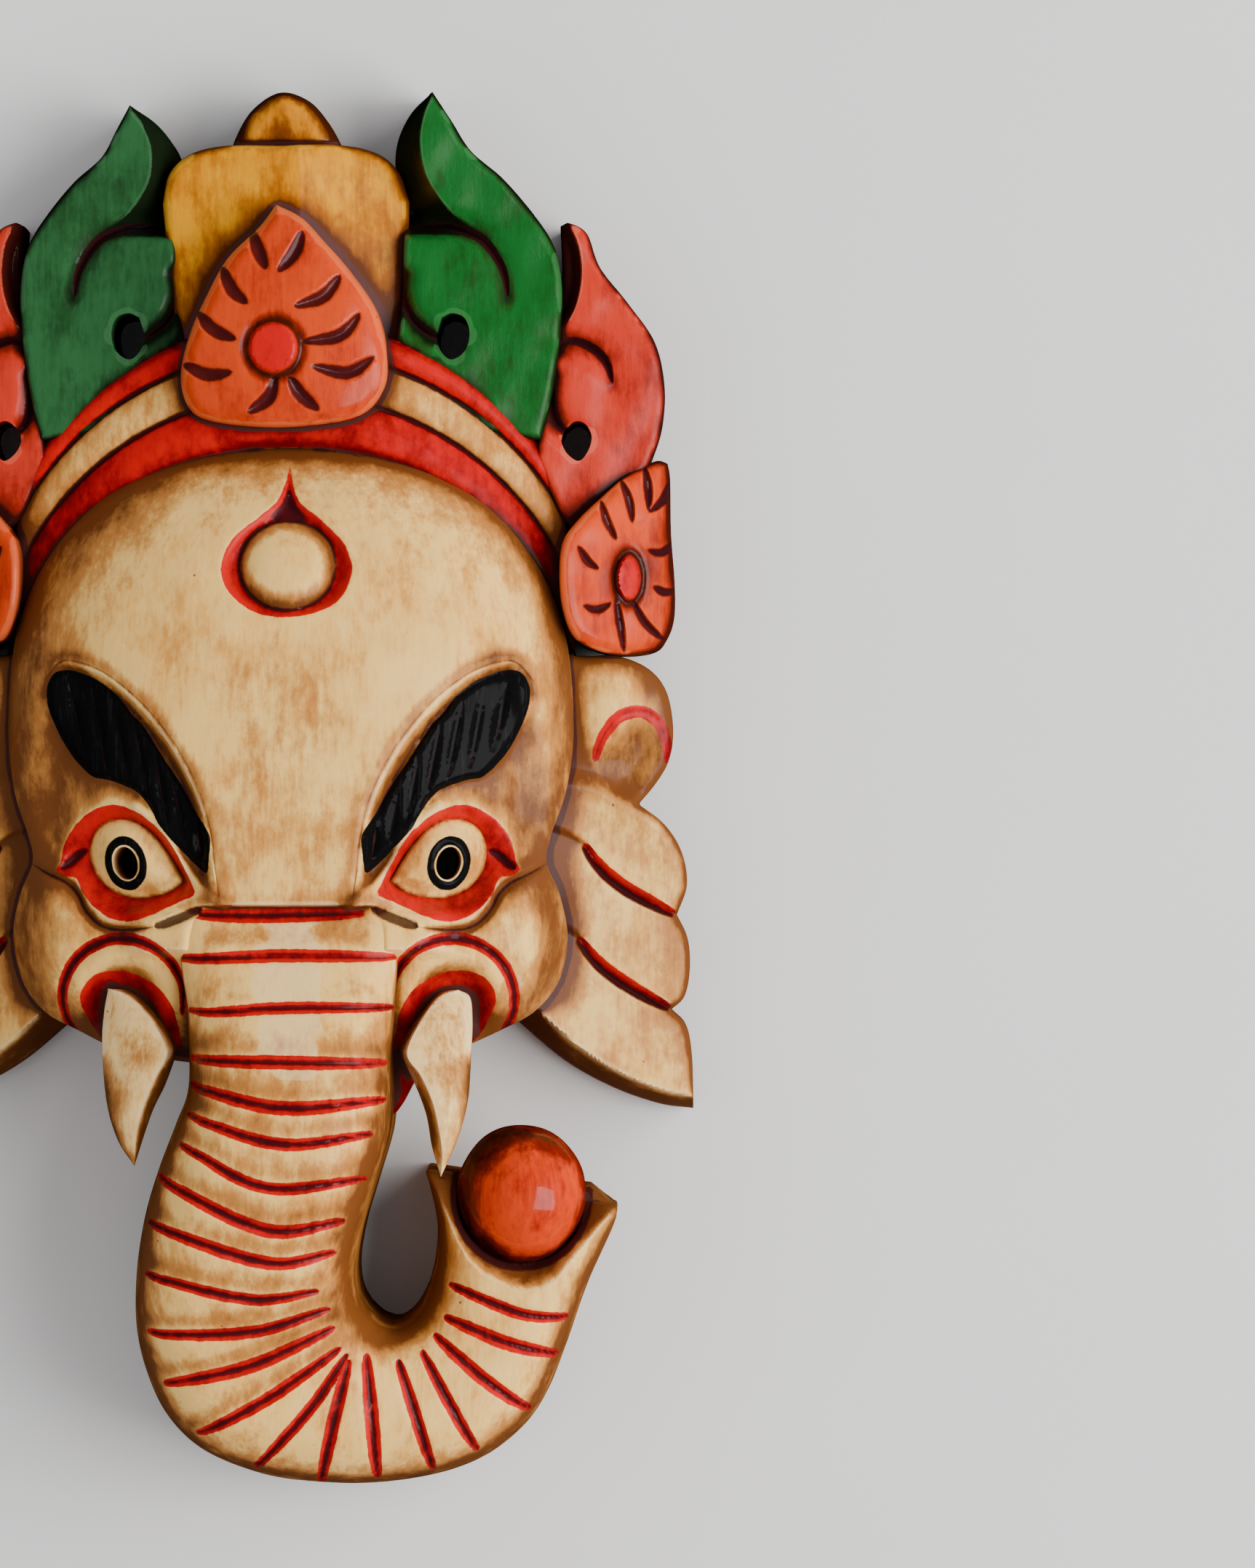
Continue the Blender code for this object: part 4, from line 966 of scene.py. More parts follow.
@dataclass
class Face:
    """The domed face: forehead, brows, eyes, cheeks and the sockets of the tusks."""

    hollow: Hollow
    workshop: Workshop
    spacing: float = 0.75
    edge_height: float = 27.0
    dome_rise: float = 36.0
    dome_y: float = 16.0
    bridge_y: float = -28.6
    cheek: tuple[tuple[float, float], tuple[float, float], float] = ((52, -41), (12, 13), 4.5)
    collar: tuple[float, float] = (11.5, 11.0)
    outline: Points = (
        (0, 81), (24, 79.5), (44.5, 68), (58, 53), (65, 36), (67, 15), (65.5, 0), (61.5, -12), (60.6, -18),
        (63.8, -26), (65.6, -36), (63.6, -46), (58, -53), (50, -57.5), (40, -62), (22, -65), (0, -65.5),
    )
    lip: Points = ((40, -62), (33.5, -64.3), (29.6, -69.5), (25.2, -77), (21, -77.4), (19, -68), (0, -65.5))
    ridge: Points = (
        (60, 24), (56.9, 27.5), (53.6, 29.5), (49.1, 29.3), (42.6, 26.5), (35.5, 21), (29.5, 14.5), (24, 6.5),
        (19.5, -3.1), (17.5, -11.6), (16.7, -18.2), (16.4, -24), (15.2, -29.2),
    )
    socket_floor: Points = ((15.2, -29.2), (28, -35), (42, -36), (54, -31), (62, -18), (66, 2), (60, 24))
    brow: Points = (
        (18.0, -17.5), (17.7, -11.6), (20.7, -6.6), (24, -0.6), (29, 7), (33.5, 14), (36.5, 17.2), (39.6, 21.2),
        (44.6, 25), (50.1, 27.2), (53.6, 27.3), (55.6, 26), (56.9, 22.5), (56.2, 17.5), (52.6, 9.8), (49.1, 5.2),
        (45.6, 2.2), (41.6, 1.4), (35.5, -1.1), (32, -5.1), (29.5, -9.6), (25, -14.6), (19, -20.2), (18.0, -17.5),
    )
    eye: Points = (
        (24, -22.2), (27.5, -16.2), (31.5, -11.1), (35.5, -8.4), (39.6, -7.6), (43.1, -8.6), (45.6, -11.1),
        (46.6, -14.6), (46.3, -18.2), (44.6, -21.7), (41.6, -24.4), (36.5, -26.2), (31.5, -25.9), (27.5, -24.7),
        (24, -22.2),
    )
    lid: Points = (
        (20.9, -25.3), (26.3, -14.6), (30.8, -9.1), (36.3, -5.4), (41.6, -4.2), (46.6, -6.1), (50.6, -9.6),
        (52.9, -14.1), (53.6, -17.6), (54.6, -19.8), (52.1, -21.2), (49.8, -21.6), (48.1, -25.2), (45.6, -28.2),
        (42.1, -30.7), (37.5, -31.7), (32.5, -30.5), (27.5, -28.2), (20.9, -25.3),
    )
    pupil: tuple[float, float] = (37.9, -18.0)
    lean: float = -14.0
    pupil_size: tuple[float, float] = (2.85, 3.95)
    ring_size: tuple[float, float] = (5.0, 6.5)
    ring_opening: tuple[float, float] = (3.25, 4.3)
    lid_fold: Points = ((14.5, -28.6), (18.5, -24.9), (22.5, -20.4), (27.5, -12.8), (31.5, -7.6), (35.5, -4.6))
    socket: tuple[float, float] = (38.6, -50.0)
    root: Points = (
        (24.6, -62), (25.3, -57.4), (27, -51.4), (31, -46.4), (38.2, -43.3), (45.4, -44.2), (48.9, -49.2),
        (47.2, -54.8), (43, -60.4), (34, -63), (24.6, -62),
    )
    drop: Points = (
        (0.3, 75.5), (1.4, 70.6), (3.1, 66.6), (8, 62.6), (13.4, 57), (15.4, 50.6), (12.8, 44), (7, 40.6), (-0.6, 39.5),
        (-8, 41), (-13.8, 46), (-15.3, 52), (-12.4, 58.4), (-7, 63), (-2.6, 67), (-0.9, 71), (0.3, 75.5),
    )
    bead: tuple[float, float, float] = (0.2, 51.8, 10.8)
    brow_strokes: tuple[Points, ...] = (
        ((20, -17), (21, -9)), ((24, -13), (26.4, 0)), ((28, -9), (31, 8)), ((32.4, -3.4), (36, 15)),
        ((37.4, 1.6), (41, 20.4)), ((42.6, 3.8), (46.2, 23.6)), ((48, 7.6), (51.6, 24.6)),
    )
    # Where the wax was rubbed in softly: a line, how far it spreads and how much.
    shades: tuple[Shade, ...] = (
        (((57.5, 22), (53.6, 30.2), (42.6, 27.6), (29.5, 15.9), (19.5, -1.5), (15.4, -18), (14.4, -27)), 1.9, 0.7),
        (((13.8, -29), (18, -23.6), (24.6, -15.2)), 1.5, 0.75),
        (((36, 0), (44, 1.4), (50, 5), (56, 12)), 3.4, 0.45), (((48, -1), (56, -4), (59, -12), (59.5, -19)), 5.5, 0.46),
        (((62, 34), (63.5, 12), (62, -6), (59, -17)), 5.0, 0.2),
        (((56, -23), (62, -34), (61, -46), (54, -54)), 4.0, 0.3),
        (((14.5, -22), (15.5, -12), (19, -3), (27, 8)), 4.5, 0.3), (((2, -27), (24, -27)), 2.6, 0.4),
        (((31, -33.2), (38.6, -34.2), (44, -33.2), (48, -29.6), (50.4, -25.2), (54, -22), (61, -18.4)), 2.2, 0.65),
        (((13.6, -29), (17, -25.6)), 2.4, 0.6), (((24, -30), (26, -36)), 3.0, 0.4),
        (((27.4, -33.6), (28, -38), (26, -44), (25.4, -51), (25.4, -58)), 4.2, -1.1),
        (((23.6, -32), (24.4, -40)), 2.4, -0.8), (((8, 22), (7, 4), (9, -22)), 8.0, 0.17),
        (((24, -22.2), (31.5, -11.1), (39.6, -7.6), (45.6, -11.1), (46.3, -18.2), (41.6, -24.4), (31.5, -25.9),
          (24, -22.2)), 1.3, -0.45),
    )

    def eye_oval(self, size: tuple[float, float], turned: int) -> np.ndarray:
        """An oval round the pupil that leans outwards at the top, on one side of the face."""
        x, y = arc((0, 0), size, all_round(40)).T
        lean = math.radians(self.lean)
        return np.stack([(self.pupil[0] + x * math.cos(lean) - y * math.sin(lean)) * turned,
                         self.pupil[1] + x * math.sin(lean) + y * math.cos(lean)], 1)

    def marks(self) -> Marks:
        """The strokes and paints of the face."""
        made = Marks()
        bead_x, bead_y, radius = self.bead
        for turned in (1, -1):
            for loops, curve in ((made.red, self.lid), (made.bare, self.eye), (made.black, self.brow)):
                loops.append(loop_through([curve], 0.8) * (turned, 1))
            made.black.append(self.eye_oval(self.ring_size, turned))
            made.open_black.append(self.eye_oval(self.ring_opening, turned))
            made.red.append(loop_through([self.root], 0.8) * (turned, 1))
            made.stained.append((loop_through([self.eye], 0.8) * (turned, 1), 0.22))
            made.stained.append((np.array([(20, -32), (70, -10), (70, -66), (20, -66)], float) * (turned, 1), 0.2))
            made.shaded += shades_on(self.shades, turned)
            made.stained.append((self.eye_oval(self.pupil_size, turned), 0.9))
            round_tusk = arc(self.socket, (14.6, 14.4), np.radians(np.linspace(-46, 196, 9)))
            strokes = [
                Gouge(as_tuples(round_tusk), 3.2, 1.2, 3.1, 1.5, 0.9), LID_CORNER,
                Gouge(((31, -32.9), (38.6, -33.7), (43.6, -32.7), (47.3, -29.4), (49.6, -25.2), (52.4, -22.6),
                       (57, -20.4), (61, -18)), 3.4, 1.5, 0, 0.9, 0.7),
                Gouge(((47.1, -14.8), (49.3, -16), (51.5, -18), (53.6, -19.5)), 3.2, 1.3, 0, 2.4, 0.7),
                Gouge(((57.5, 25), (53.6, 29.2), (49.1, 29.2), (42.6, 26.6), (35.5, 21.2), (29.5, 14.7), (24, 6.7),
                       (19.5, -2.9), (17.4, -11.6), (16.6, -18.2), (15.6, -26)), 1.8, 0.6, 0, 0.2, 0.6),
            ]
            strokes += [Gouge(stroke, 2.8, 0.7, 0, 0.01, 0.5) for stroke in self.brow_strokes]
            made.gouges += [stroke.on_side(turned) for stroke in strokes]
        # Painted shade on the left side of the forehead, away from the key light; darker along the bead's lower edge.
        made.shaded += [(((-38, 68), (-54, 47), (-61, 20), (-60, -4)), 11.0, 0.3),
                        (((-6.5, 45.5), (0.2, 43), (6.5, 45.5)), 3.0, 0.45)]
        made.red.append(np.array([(22, -67), (30.5, -65.6), (33, -68), (25, -80), (20, -80)], float))
        made.red.append(loop_through([self.drop], 0.8))
        seat = arc((bead_x, bead_y), (radius + 0.6, radius - 0.2), all_round(60))
        made.bare.append(seat)
        made.gouges.append(Gouge(as_tuples([*seat[::5], seat[0]]), 2.0, 0.4, 0, 1.1, 1.0))
        ring = arc((bead_x, bead_y), (radius - 0.6, radius - 1.2), all_round(60))
        made.shaded.append((as_tuples([*ring[::4], ring[0]]), 1.9, 0.6))
        made.dark.append(loop_through([[(0.3, 71.5), (1.6, 67), (4.4, 62.8), (0.3, 62.2), (-4, 62.9), (-1.2, 67),
                                        (0.3, 71.5)]], 0.8))
        return made

    def height(self, x: np.ndarray, y: np.ndarray) -> np.ndarray:
        """The height of the face before its strokes are cut."""
        side = np.abs(x)
        z = self.with_brow(side, y, self.dome(side, y))
        z = self.with_eye(side, y, z)
        z = z + bulge(side, y, *self.cheek)
        z = self.with_socket(side, y, z)
        z = self.with_bridge(side, y, z)
        z = self.with_drop(x, y, z)
        fold, _ = nearest(curve_through(self.lid_fold, 0.8), side, y, 6.0)
        z = z + 1.5 * np.exp(-((fold / 1.25) ** 2))
        z = self.with_root(side, y, z)
        return z + 0.22 * lumps(x, y, 5.0, 1.0)

    def dome(self, side: np.ndarray, y: np.ndarray) -> np.ndarray:
        """The height of the bare dome, which is wider and longer at the cheeks."""
        outer = smoothstep(side, 44, 58)
        half_width = 67.5 + 4 * outer * smoothstep(-y, 14, 34)
        half_length = np.where(y > self.dome_y, 67.0, 103.0 + 15 * outer)
        fall = (side / half_width) ** 2.3 + (np.abs(y - self.dome_y) / half_length) ** 2.3
        return self.edge_height + self.dome_rise * np.clip(1 - fall, 0, 1) ** 0.55

    def with_brow(self, side: np.ndarray, y: np.ndarray, z: np.ndarray) -> np.ndarray:
        """Sinks the eye socket below its ridge and raises the brow."""
        ridge, floor = curve_through(self.ridge, 1.2), curve_through(self.socket_floor, 2.0)
        zone = np.vstack([ridge, floor[1:-1]])
        from_ridge, _ = nearest(ridge, side, y, 12.0)
        from_floor, _ = nearest(floor, side, y, 16.0)
        z = z - 5.5 * smoothstep(from_ridge, 0, 3.4) * smoothstep(from_floor, 0, 13) * inside(zone, side, y)
        brow = depth_in(loop_through([self.brow], 1.2), side, y, 5.0)
        return z + 2.2 * smoothstep(brow, -0.6, 1.5)

    def with_socket(self, side: np.ndarray, y: np.ndarray, z: np.ndarray) -> np.ndarray:
        """Adds the collar round the root of a tusk and sinks what it encloses."""
        around = np.hypot((side - self.socket[0]) / self.collar[0], (y - self.socket[1]) / self.collar[1])
        z = z + 2.4 * np.exp(-(((around - 0.95) / 0.26) ** 2)) * smoothstep(y, -62, -52)
        return z - 2.0 * smoothstep(1 - around, 0.15, 0.6)

    def with_bridge(self, side: np.ndarray, y: np.ndarray, z: np.ndarray) -> np.ndarray:
        """Swells the nose's bridge and drops it where the trunk begins."""
        swell = 1.5 * smoothstep(y, self.bridge_y, -27.6) * np.exp(-((y + 27.6) / 9) ** 2)
        z = z + swell * smoothstep(25 - side, 0, 9)
        return z - 2.5 * smoothstep(-y, 27.7, 28.5) * smoothstep(21 - side, 0, 2)

    def with_root(self, side: np.ndarray, y: np.ndarray, z: np.ndarray) -> np.ndarray:
        """Raises the cheek's inner edge to the flank of the trunk's top."""
        root = 59.4 + 0.42 * (self.bridge_y - y) - 0.30 * np.clip(side - 21, 0, None)
        root = root - 2.2 * np.clip(-38 - y, 0, None)
        root = np.where((y < self.bridge_y) & (side < 40) & (side > 19), root, 0)
        rise = np.clip(root - z, 0, None) * smoothstep(-y, -self.bridge_y, 30.2)
        return z + rise * smoothstep(side, 19.5, 24) * smoothstep(40 - side, 0, 7)

    def with_eye(self, side: np.ndarray, y: np.ndarray, z: np.ndarray) -> np.ndarray:
        """Adds the eyeball and the lids."""
        eye = depth_in(loop_through([self.eye], 1.0), side, y, 14.0)
        lid = depth_in(loop_through([self.lid], 1.0), side, y, 14.0)
        slope = np.clip(lid / np.maximum(lid - eye, 1e-3), 0, 1)
        crest = 1.7 * np.exp(-np.clip(-lid, 0, None) / 2.6)
        within = np.where(eye > 0, -1.4 + 5.4 * np.sqrt(np.clip(eye / 9.2, 0, 1)), 1.7 - 3.1 * slope ** 1.3)
        z = z + np.where(lid > 0, within, crest)
        pupil = np.hypot((side - self.pupil[0]) / self.pupil_size[0], (y - self.pupil[1]) / self.pupil_size[1])
        return z - 0.8 * smoothstep(1.35 - pupil, 0, 0.35)

    def with_drop(self, x: np.ndarray, y: np.ndarray, z: np.ndarray) -> np.ndarray:
        """Adds the drop on the forehead and the bead in it."""
        depth = depth_in(loop_through([self.drop], 1.0), x, y, 5.0)
        z = z - 2.4 * smoothstep(depth, -0.3, 2.9)
        bead_x, bead_y, radius = self.bead
        out = np.hypot(x - bead_x, y - bead_y) / radius
        return z + 4.2 * np.sqrt(np.clip(1 - out ** 2, 0, 1))

    def build(self) -> None:
        """Makes the face."""
        runs = [(*self.outline[:-3], *self.lip), *mirrored([self.outline])]
        loop = loop_through(runs, 0.7)
        marks = self.marks()
        holes = [self.eye_oval(self.pupil_size, turned) for turned in (1, -1)]
        piece = Relief("face", loop, self.height, self.spacing, marks, holes, (),
                       lambda x, y: np.maximum(self.hollow.height(x, y), 7.0), slant=-1.7).build()
        self.workshop.finish(piece, Paint.CREAM, marks, 10.0, loop)


# The trunk, its sweet and the tusks


@dataclass
class Trunk:
    """The ringed trunk that curls up to hold a sweet."""

    workshop: Workshop
    step: float = 0.8
    across: int = 100
    squareness: float = 3.0
    mouth: tuple[float, float] = (54.8, -96.4)
    bowl: tuple[float, float, float] = (54.8, -96.0, 43.0)
    bowl_radius: float = 15.6
    bowl_stretch: tuple[float, float, float] = (1.0, 1.07, 1.16)
    lip_slope: float = 1.7
    lip_height: float = 36.5
    lips: Points = (
        (31.8, -91), (35.2, -95.4), (37.8, -101.6), (39.8, -106.4), (42.4, -110.8), (45.7, -114.2), (50.7, -117),
        (55.5, -118.2), (59.4, -117.6), (63, -115.4), (66.4, -111.2), (69.9, -107.1), (73.3, -103), (76.6, -99.8),
        (80, -96), (78, -84), (28, -84), (28, -90),
    )
    # Each station: left edge x, y, right edge x, y, top, underside and how far the flanks round down.
    stations: Points = (
        (-22.7, -25.5, 23.8, -25.5, 55.4, 47, 2), (-22.9, -28.6, 24.2, -28.6, 58.8, 47, 3),
        (-23.9, -34, 25.2, -34, 62.2, 46, 5), (-24.8, -40, 26.0, -40, 65.5, 44, 9),
        (-23.3, -51.6, 25.3, -51.6, 70.5, 38, 17), (-22.9, -62, 24.7, -63, 75, 22, 25),
        (-23.3, -71.4, 24.6, -73, 77.6, 11, 30), (-26, -79, 23.8, -82, 79.2, 7, 30),
        (-30.1, -89.8, 20.6, -93, 79.2, 7, 30), (-33.4, -100.9, 17.6, -103, 77, 7, 30),
        (-35.5, -113.8, 16.0, -112, 73.4, 7, 30), (-35.8, -126.8, 16.4, -118.5, 69.2, 7, 30),
        (-33.6, -137.9, 18.0, -122.3, 65, 7, 30), (-28.8, -148.6, 20.2, -124.8, 61.5, 7, 30),
        (-20.3, -157.0, 21.8, -126.0, 58.6, 7, 30), (-7, -162.6, 23.4, -126.6, 56.4, 7, 30),
        (5.9, -164.7, 24.8, -126.9, 55, 7, 30), (20.7, -165, 26.4, -126.4, 53.6, 7, 30),
        (35.5, -162.8, 28.4, -125, 52.4, 7, 30), (46.5, -158.6, 30.2, -122.9, 51.4, 7, 30),
        (55.4, -151.6, 32, -119.5, 50.6, 7, 30), (60.9, -143.4, 33.2, -116.2, 50.2, 7, 28),
        (65.4, -132, 34.4, -110.5, 50, 7, 24), (70.4, -117.5, 34.8, -103, 49.6, 7, 18),
        (77.2, -101.6, 33.2, -94.6, 48, 7, 12), (75.2, -98.4, 32.2, -91.4, 47, 7, 12),
        (71.0, -94.8, 32.6, -90.4, 43.5, 7, 14),
    )
    # The rings: where each stroke starts, bends and ends.
    rings: tuple[Points, ...] = (
        ((-22.6, -29.4), (-4, -30.2), (18.4, -29.6)), ((-25.9, -39.9), (0, -39.6), (26.2, -39.8)),
        ((-22.7, -52), (0, -51.3), (25.3, -51.5)), ((-22.3, -63.1), (2, -64.2), (23.8, -64.4)),
        ((-22.2, -69.2), (0.4, -74.5), (23.5, -72.9)), ((-22.7, -76), (0.4, -82.8), (20.7, -80.6)),
        ((-24.6, -82.8), (-3.3, -93.2), (19.2, -91.1)), ((-29.7, -90.4), (-3.3, -102.8), (14.2, -100.9)),
        ((-31.9, -101.3), (-3.3, -110.7), (12, -108.3)), ((-32.9, -113.3), (-7, -119.4), (8.1, -117.5)),
        ((-32.5, -127.2), (-7, -126.8), (10.5, -121.8)), ((-28.8, -139.7), (-7, -135.1), (11.4, -126.4)),
        ((-21.4, -151.7), (-3.3, -142.5), (12.7, -131.4)), ((-7.9, -160), (5.9, -145.2), (14.2, -132.9)),
        ((7.4, -164.3), (11.4, -147.1), (14.6, -134.2)), ((21.1, -162.8), (19.8, -147.1), (18.5, -132.9)),
        ((34.2, -160.9), (29.9, -147.1), (25.9, -134.5)), ((44.7, -156.3), (38.2, -145.2), (31.4, -132.3)),
        ((57.1, -146.5), (44.7, -137.9), (34.2, -128.6)), ((63.5, -133.6), (50.2, -130.5), (36.7, -124.6)),
        ((65.9, -124.4), (53.9, -123.5), (37.7, -117)),
    )

    def marks(self) -> Marks:
        """The painted gouge strokes that ring the trunk."""
        made = Marks()
        for number, (start, middle, end) in enumerate(self.rings):
            sway = 0.5 * math.sin(2.4 * number)
            near = tuple((np.array(start) * 0.75 + np.array(middle) * 0.25 + (0, sway * 0.5 - 0.5)).tolist())
            line = (start, near, (middle[0], middle[1] + 0.4 * sway), end)
            made.gouges.append(Gouge(line, 3.0, 1.25, 3.3 + 0.3 * math.cos(1.7 * number), 1.35, 1.0))
            if 2 < number < 13:
                made.shaded.append((tuple((x, y + 3.2) for x, y in line), 2.2, 0.42))
        made.gouges += [LID_CORNER.on_side(turned) for turned in (1, -1)]
        made.stained += [(self.outline(), 0.06), (np.array(self.lips, float), 0.5)]
        lower, upper = np.radians(np.linspace(-205, 8, 40)), np.radians(np.linspace(8, -205, 40))
        made.dark.append(np.vstack([arc(self.mouth, (16.9, 17.9), lower), arc(self.mouth, (12.0, 12.0), upper)]))
        made.shaded += [
            (((24, -80), (20, -93), (17, -106), (15.4, -118), (20, -127), (29, -125), (33.5, -115)), 5.5, 0.32),
            (((-27, -80), (-33.5, -100), (-35.5, -124), (-31, -143)), 3.5, 0.16),
            (((2, -68), (-2, -84), (-6, -98), (-10, -112)), 15.0, 0.3), (((-24, -67), (24, -67)), 3.0, 0.3),
            (((-18, -36), (18, -35.6)), 2.8, 0.3), (((-20, -48), (19, -47)), 3.2, 0.3),
            (((-20, -59), (19, -59)), 3.2, 0.3),
            (((24, -29), (25.4, -38), (25.6, -46)), 4.0, -0.9), (((-22.8, -29), (-24.4, -38), (-24, -46)), 4.0, -0.9),
        ]
        return made

    def surface(self, cut: Surface) -> tuple[np.ndarray, int]:
        """Skins the trunk's upper side and flanks.

        Args:
            cut: The depth of the strokes at a place.

        Returns:
            The points, ring after ring, and the number of points in a ring.
        """
        rows = curve_through(self.stations, self.step)
        angles = np.linspace(-math.pi / 2, math.pi / 2, self.across)
        power = 2 / self.squareness
        t = np.sign(np.sin(angles)) * np.abs(np.sin(angles)) ** power
        arch = np.clip(np.cos(angles), 0, 1) ** power
        rings = []
        for left_x, left_y, right_x, right_y, top, under, depth in rows:
            middle = np.array([right_x + left_x, right_y + left_y]) / 2
            half = np.array([right_x - left_x, right_y - left_y]) / 2
            drop = min(top - under - 1, depth)
            place = middle + half * t[:, None]
            z = top - drop * (1 - arch)
            upper = np.column_stack([place, z])
            feet = np.array([[*(middle + half * side * 1.004), under] for side in (1, -1)])
            rings.append(np.vstack([upper, feet]))
        points = np.vstack(rings)
        upper = np.tile(np.r_[np.ones(self.across), 0, 0] > 0, len(rings))
        carved = points[upper]
        depth = cut(carved[:, 0], carved[:, 1]) + 0.18 * lumps(carved[:, 0], carved[:, 1], 4.0, 4.0)
        points[upper, 2] -= depth * np.tile(np.clip(arch * 2, 0, 1), len(rings))
        into = depth_in(np.array(self.lips, float), carved[:, 0], carved[:, 1], 9.0)
        z = points[upper, 2]
        sunk = np.maximum(z - np.clip(self.lip_slope * (into + 0.2), 0, 12), np.minimum(z, self.lip_height))
        points[upper, 2] = np.where(into > -0.6, sunk, z)
        return points, self.across + 2

    def build(self) -> None:
        """Makes the trunk and cuts its mouth."""
        marks = self.marks()
        points, count = self.surface(marks.cut)
        number = len(points) // count
        start = np.arange(number - 1)[:, None] * count
        here = start + np.arange(count)
        there = start + (np.arange(count) + 1) % count
        faces = np.stack([here, there, there + count, here + count], 2).reshape(-1, 4)
        ends = [list(range(count)), list(range((number - 1) * count, number * count))]
        piece = mesh_object("trunk", points, [*faces, *ends])
        point_outwards(piece)
        self.cut_mouth(piece)
        bpy.ops.object.shade_smooth_by_angle(angle=math.radians(40))
        self.workshop.finish(piece, Paint.CREAM, marks, 4.5, self.outline())

    def outline(self, first: int = 0) -> np.ndarray:
        """The trunk's outline from above, from one of its stations on."""
        rows = curve_through(self.stations[first:], 1.5)
        return np.vstack([rows[:, :2], rows[::-1, 2:4]])

    def cut_mouth(self, piece: bpy.types.Object) -> None:
        """Scoops out the seat of the sweet."""
        bpy.ops.object.select_all(action="DESELECT")
        bpy.ops.mesh.primitive_uv_sphere_add(segments=72, ring_count=48, radius=self.bowl_radius * MM,
                                             location=tuple(value * MM for value in self.bowl))
        bowl = bpy.context.object
        bowl.scale = self.bowl_stretch
        bpy.ops.object.transform_apply(location=True, rotation=True, scale=True)
        cut_away(piece, bowl)


@dataclass
class Sweet:
    """The round sweet in the trunk's mouth, cut a little unevenly."""

    workshop: Workshop
    centre: tuple[float, float, float] = (54.8, -96.2, 37.6)
    radius: float = 15.3
    stretch: float = 1.07

    def shaded_side(self) -> list[tuple[np.ndarray, float]]:
        """Crescents of painted shade on the upper left, away from the key light, where the sweet is nearly black."""
        made = []
        for reach, amount in ((14.8, 0.9), (12.6, 0.6), (9.5, 0.35)):
            outer, inner = (np.radians(np.linspace(*ends, 24)) for ends in ((40, 250), (240, 50)))
            x0, y0, _ = self.centre
            crescent = [arc((x0, y0), (19, 20), outer),
                        arc((x0 + 3.2, y0 - 3.0), (reach, 1.05 * reach), inner)]
            made.append((np.vstack(crescent), amount))
        return made

    def build(self) -> None:
        """Makes the sweet."""
        bpy.ops.object.select_all(action="DESELECT")
        place = tuple(value * MM for value in self.centre)
        bpy.ops.mesh.primitive_uv_sphere_add(segments=128, ring_count=96, radius=self.radius * MM, location=place)
        piece = bpy.context.object
        piece.name = piece.data.name = "sweet"
        bpy.ops.object.transform_apply(location=True, rotation=True, scale=True)
        points = vertex_array(piece)
        out = (points - self.centre) / self.radius
        flat = np.zeros(len(points))
        for number in range(9):
            turn, tip = 2.4 * number, 0.25 + 0.5 * ((number * 0.618) % 1)
            facet = np.array([math.cos(turn) * math.cos(tip), math.sin(turn) * math.cos(tip), math.sin(tip)])
            flat = np.maximum(flat, smoothstep(out @ facet, 0.9, 1.0) * 0.25)
        swell = self.radius - flat + 0.22 * lumps(points[:, 0], points[:, 1] + points[:, 2], 5.0, 2.0)
        moved = np.array(self.centre) + out * swell[:, None] * (1, self.stretch, 1)
        piece.data.vertices.foreach_set("co", (moved * MM).ravel())
        bpy.ops.object.shade_smooth()
        self.workshop.finish(piece, Paint.SWEET, Marks(stained=self.shaded_side()), raw_back=False)


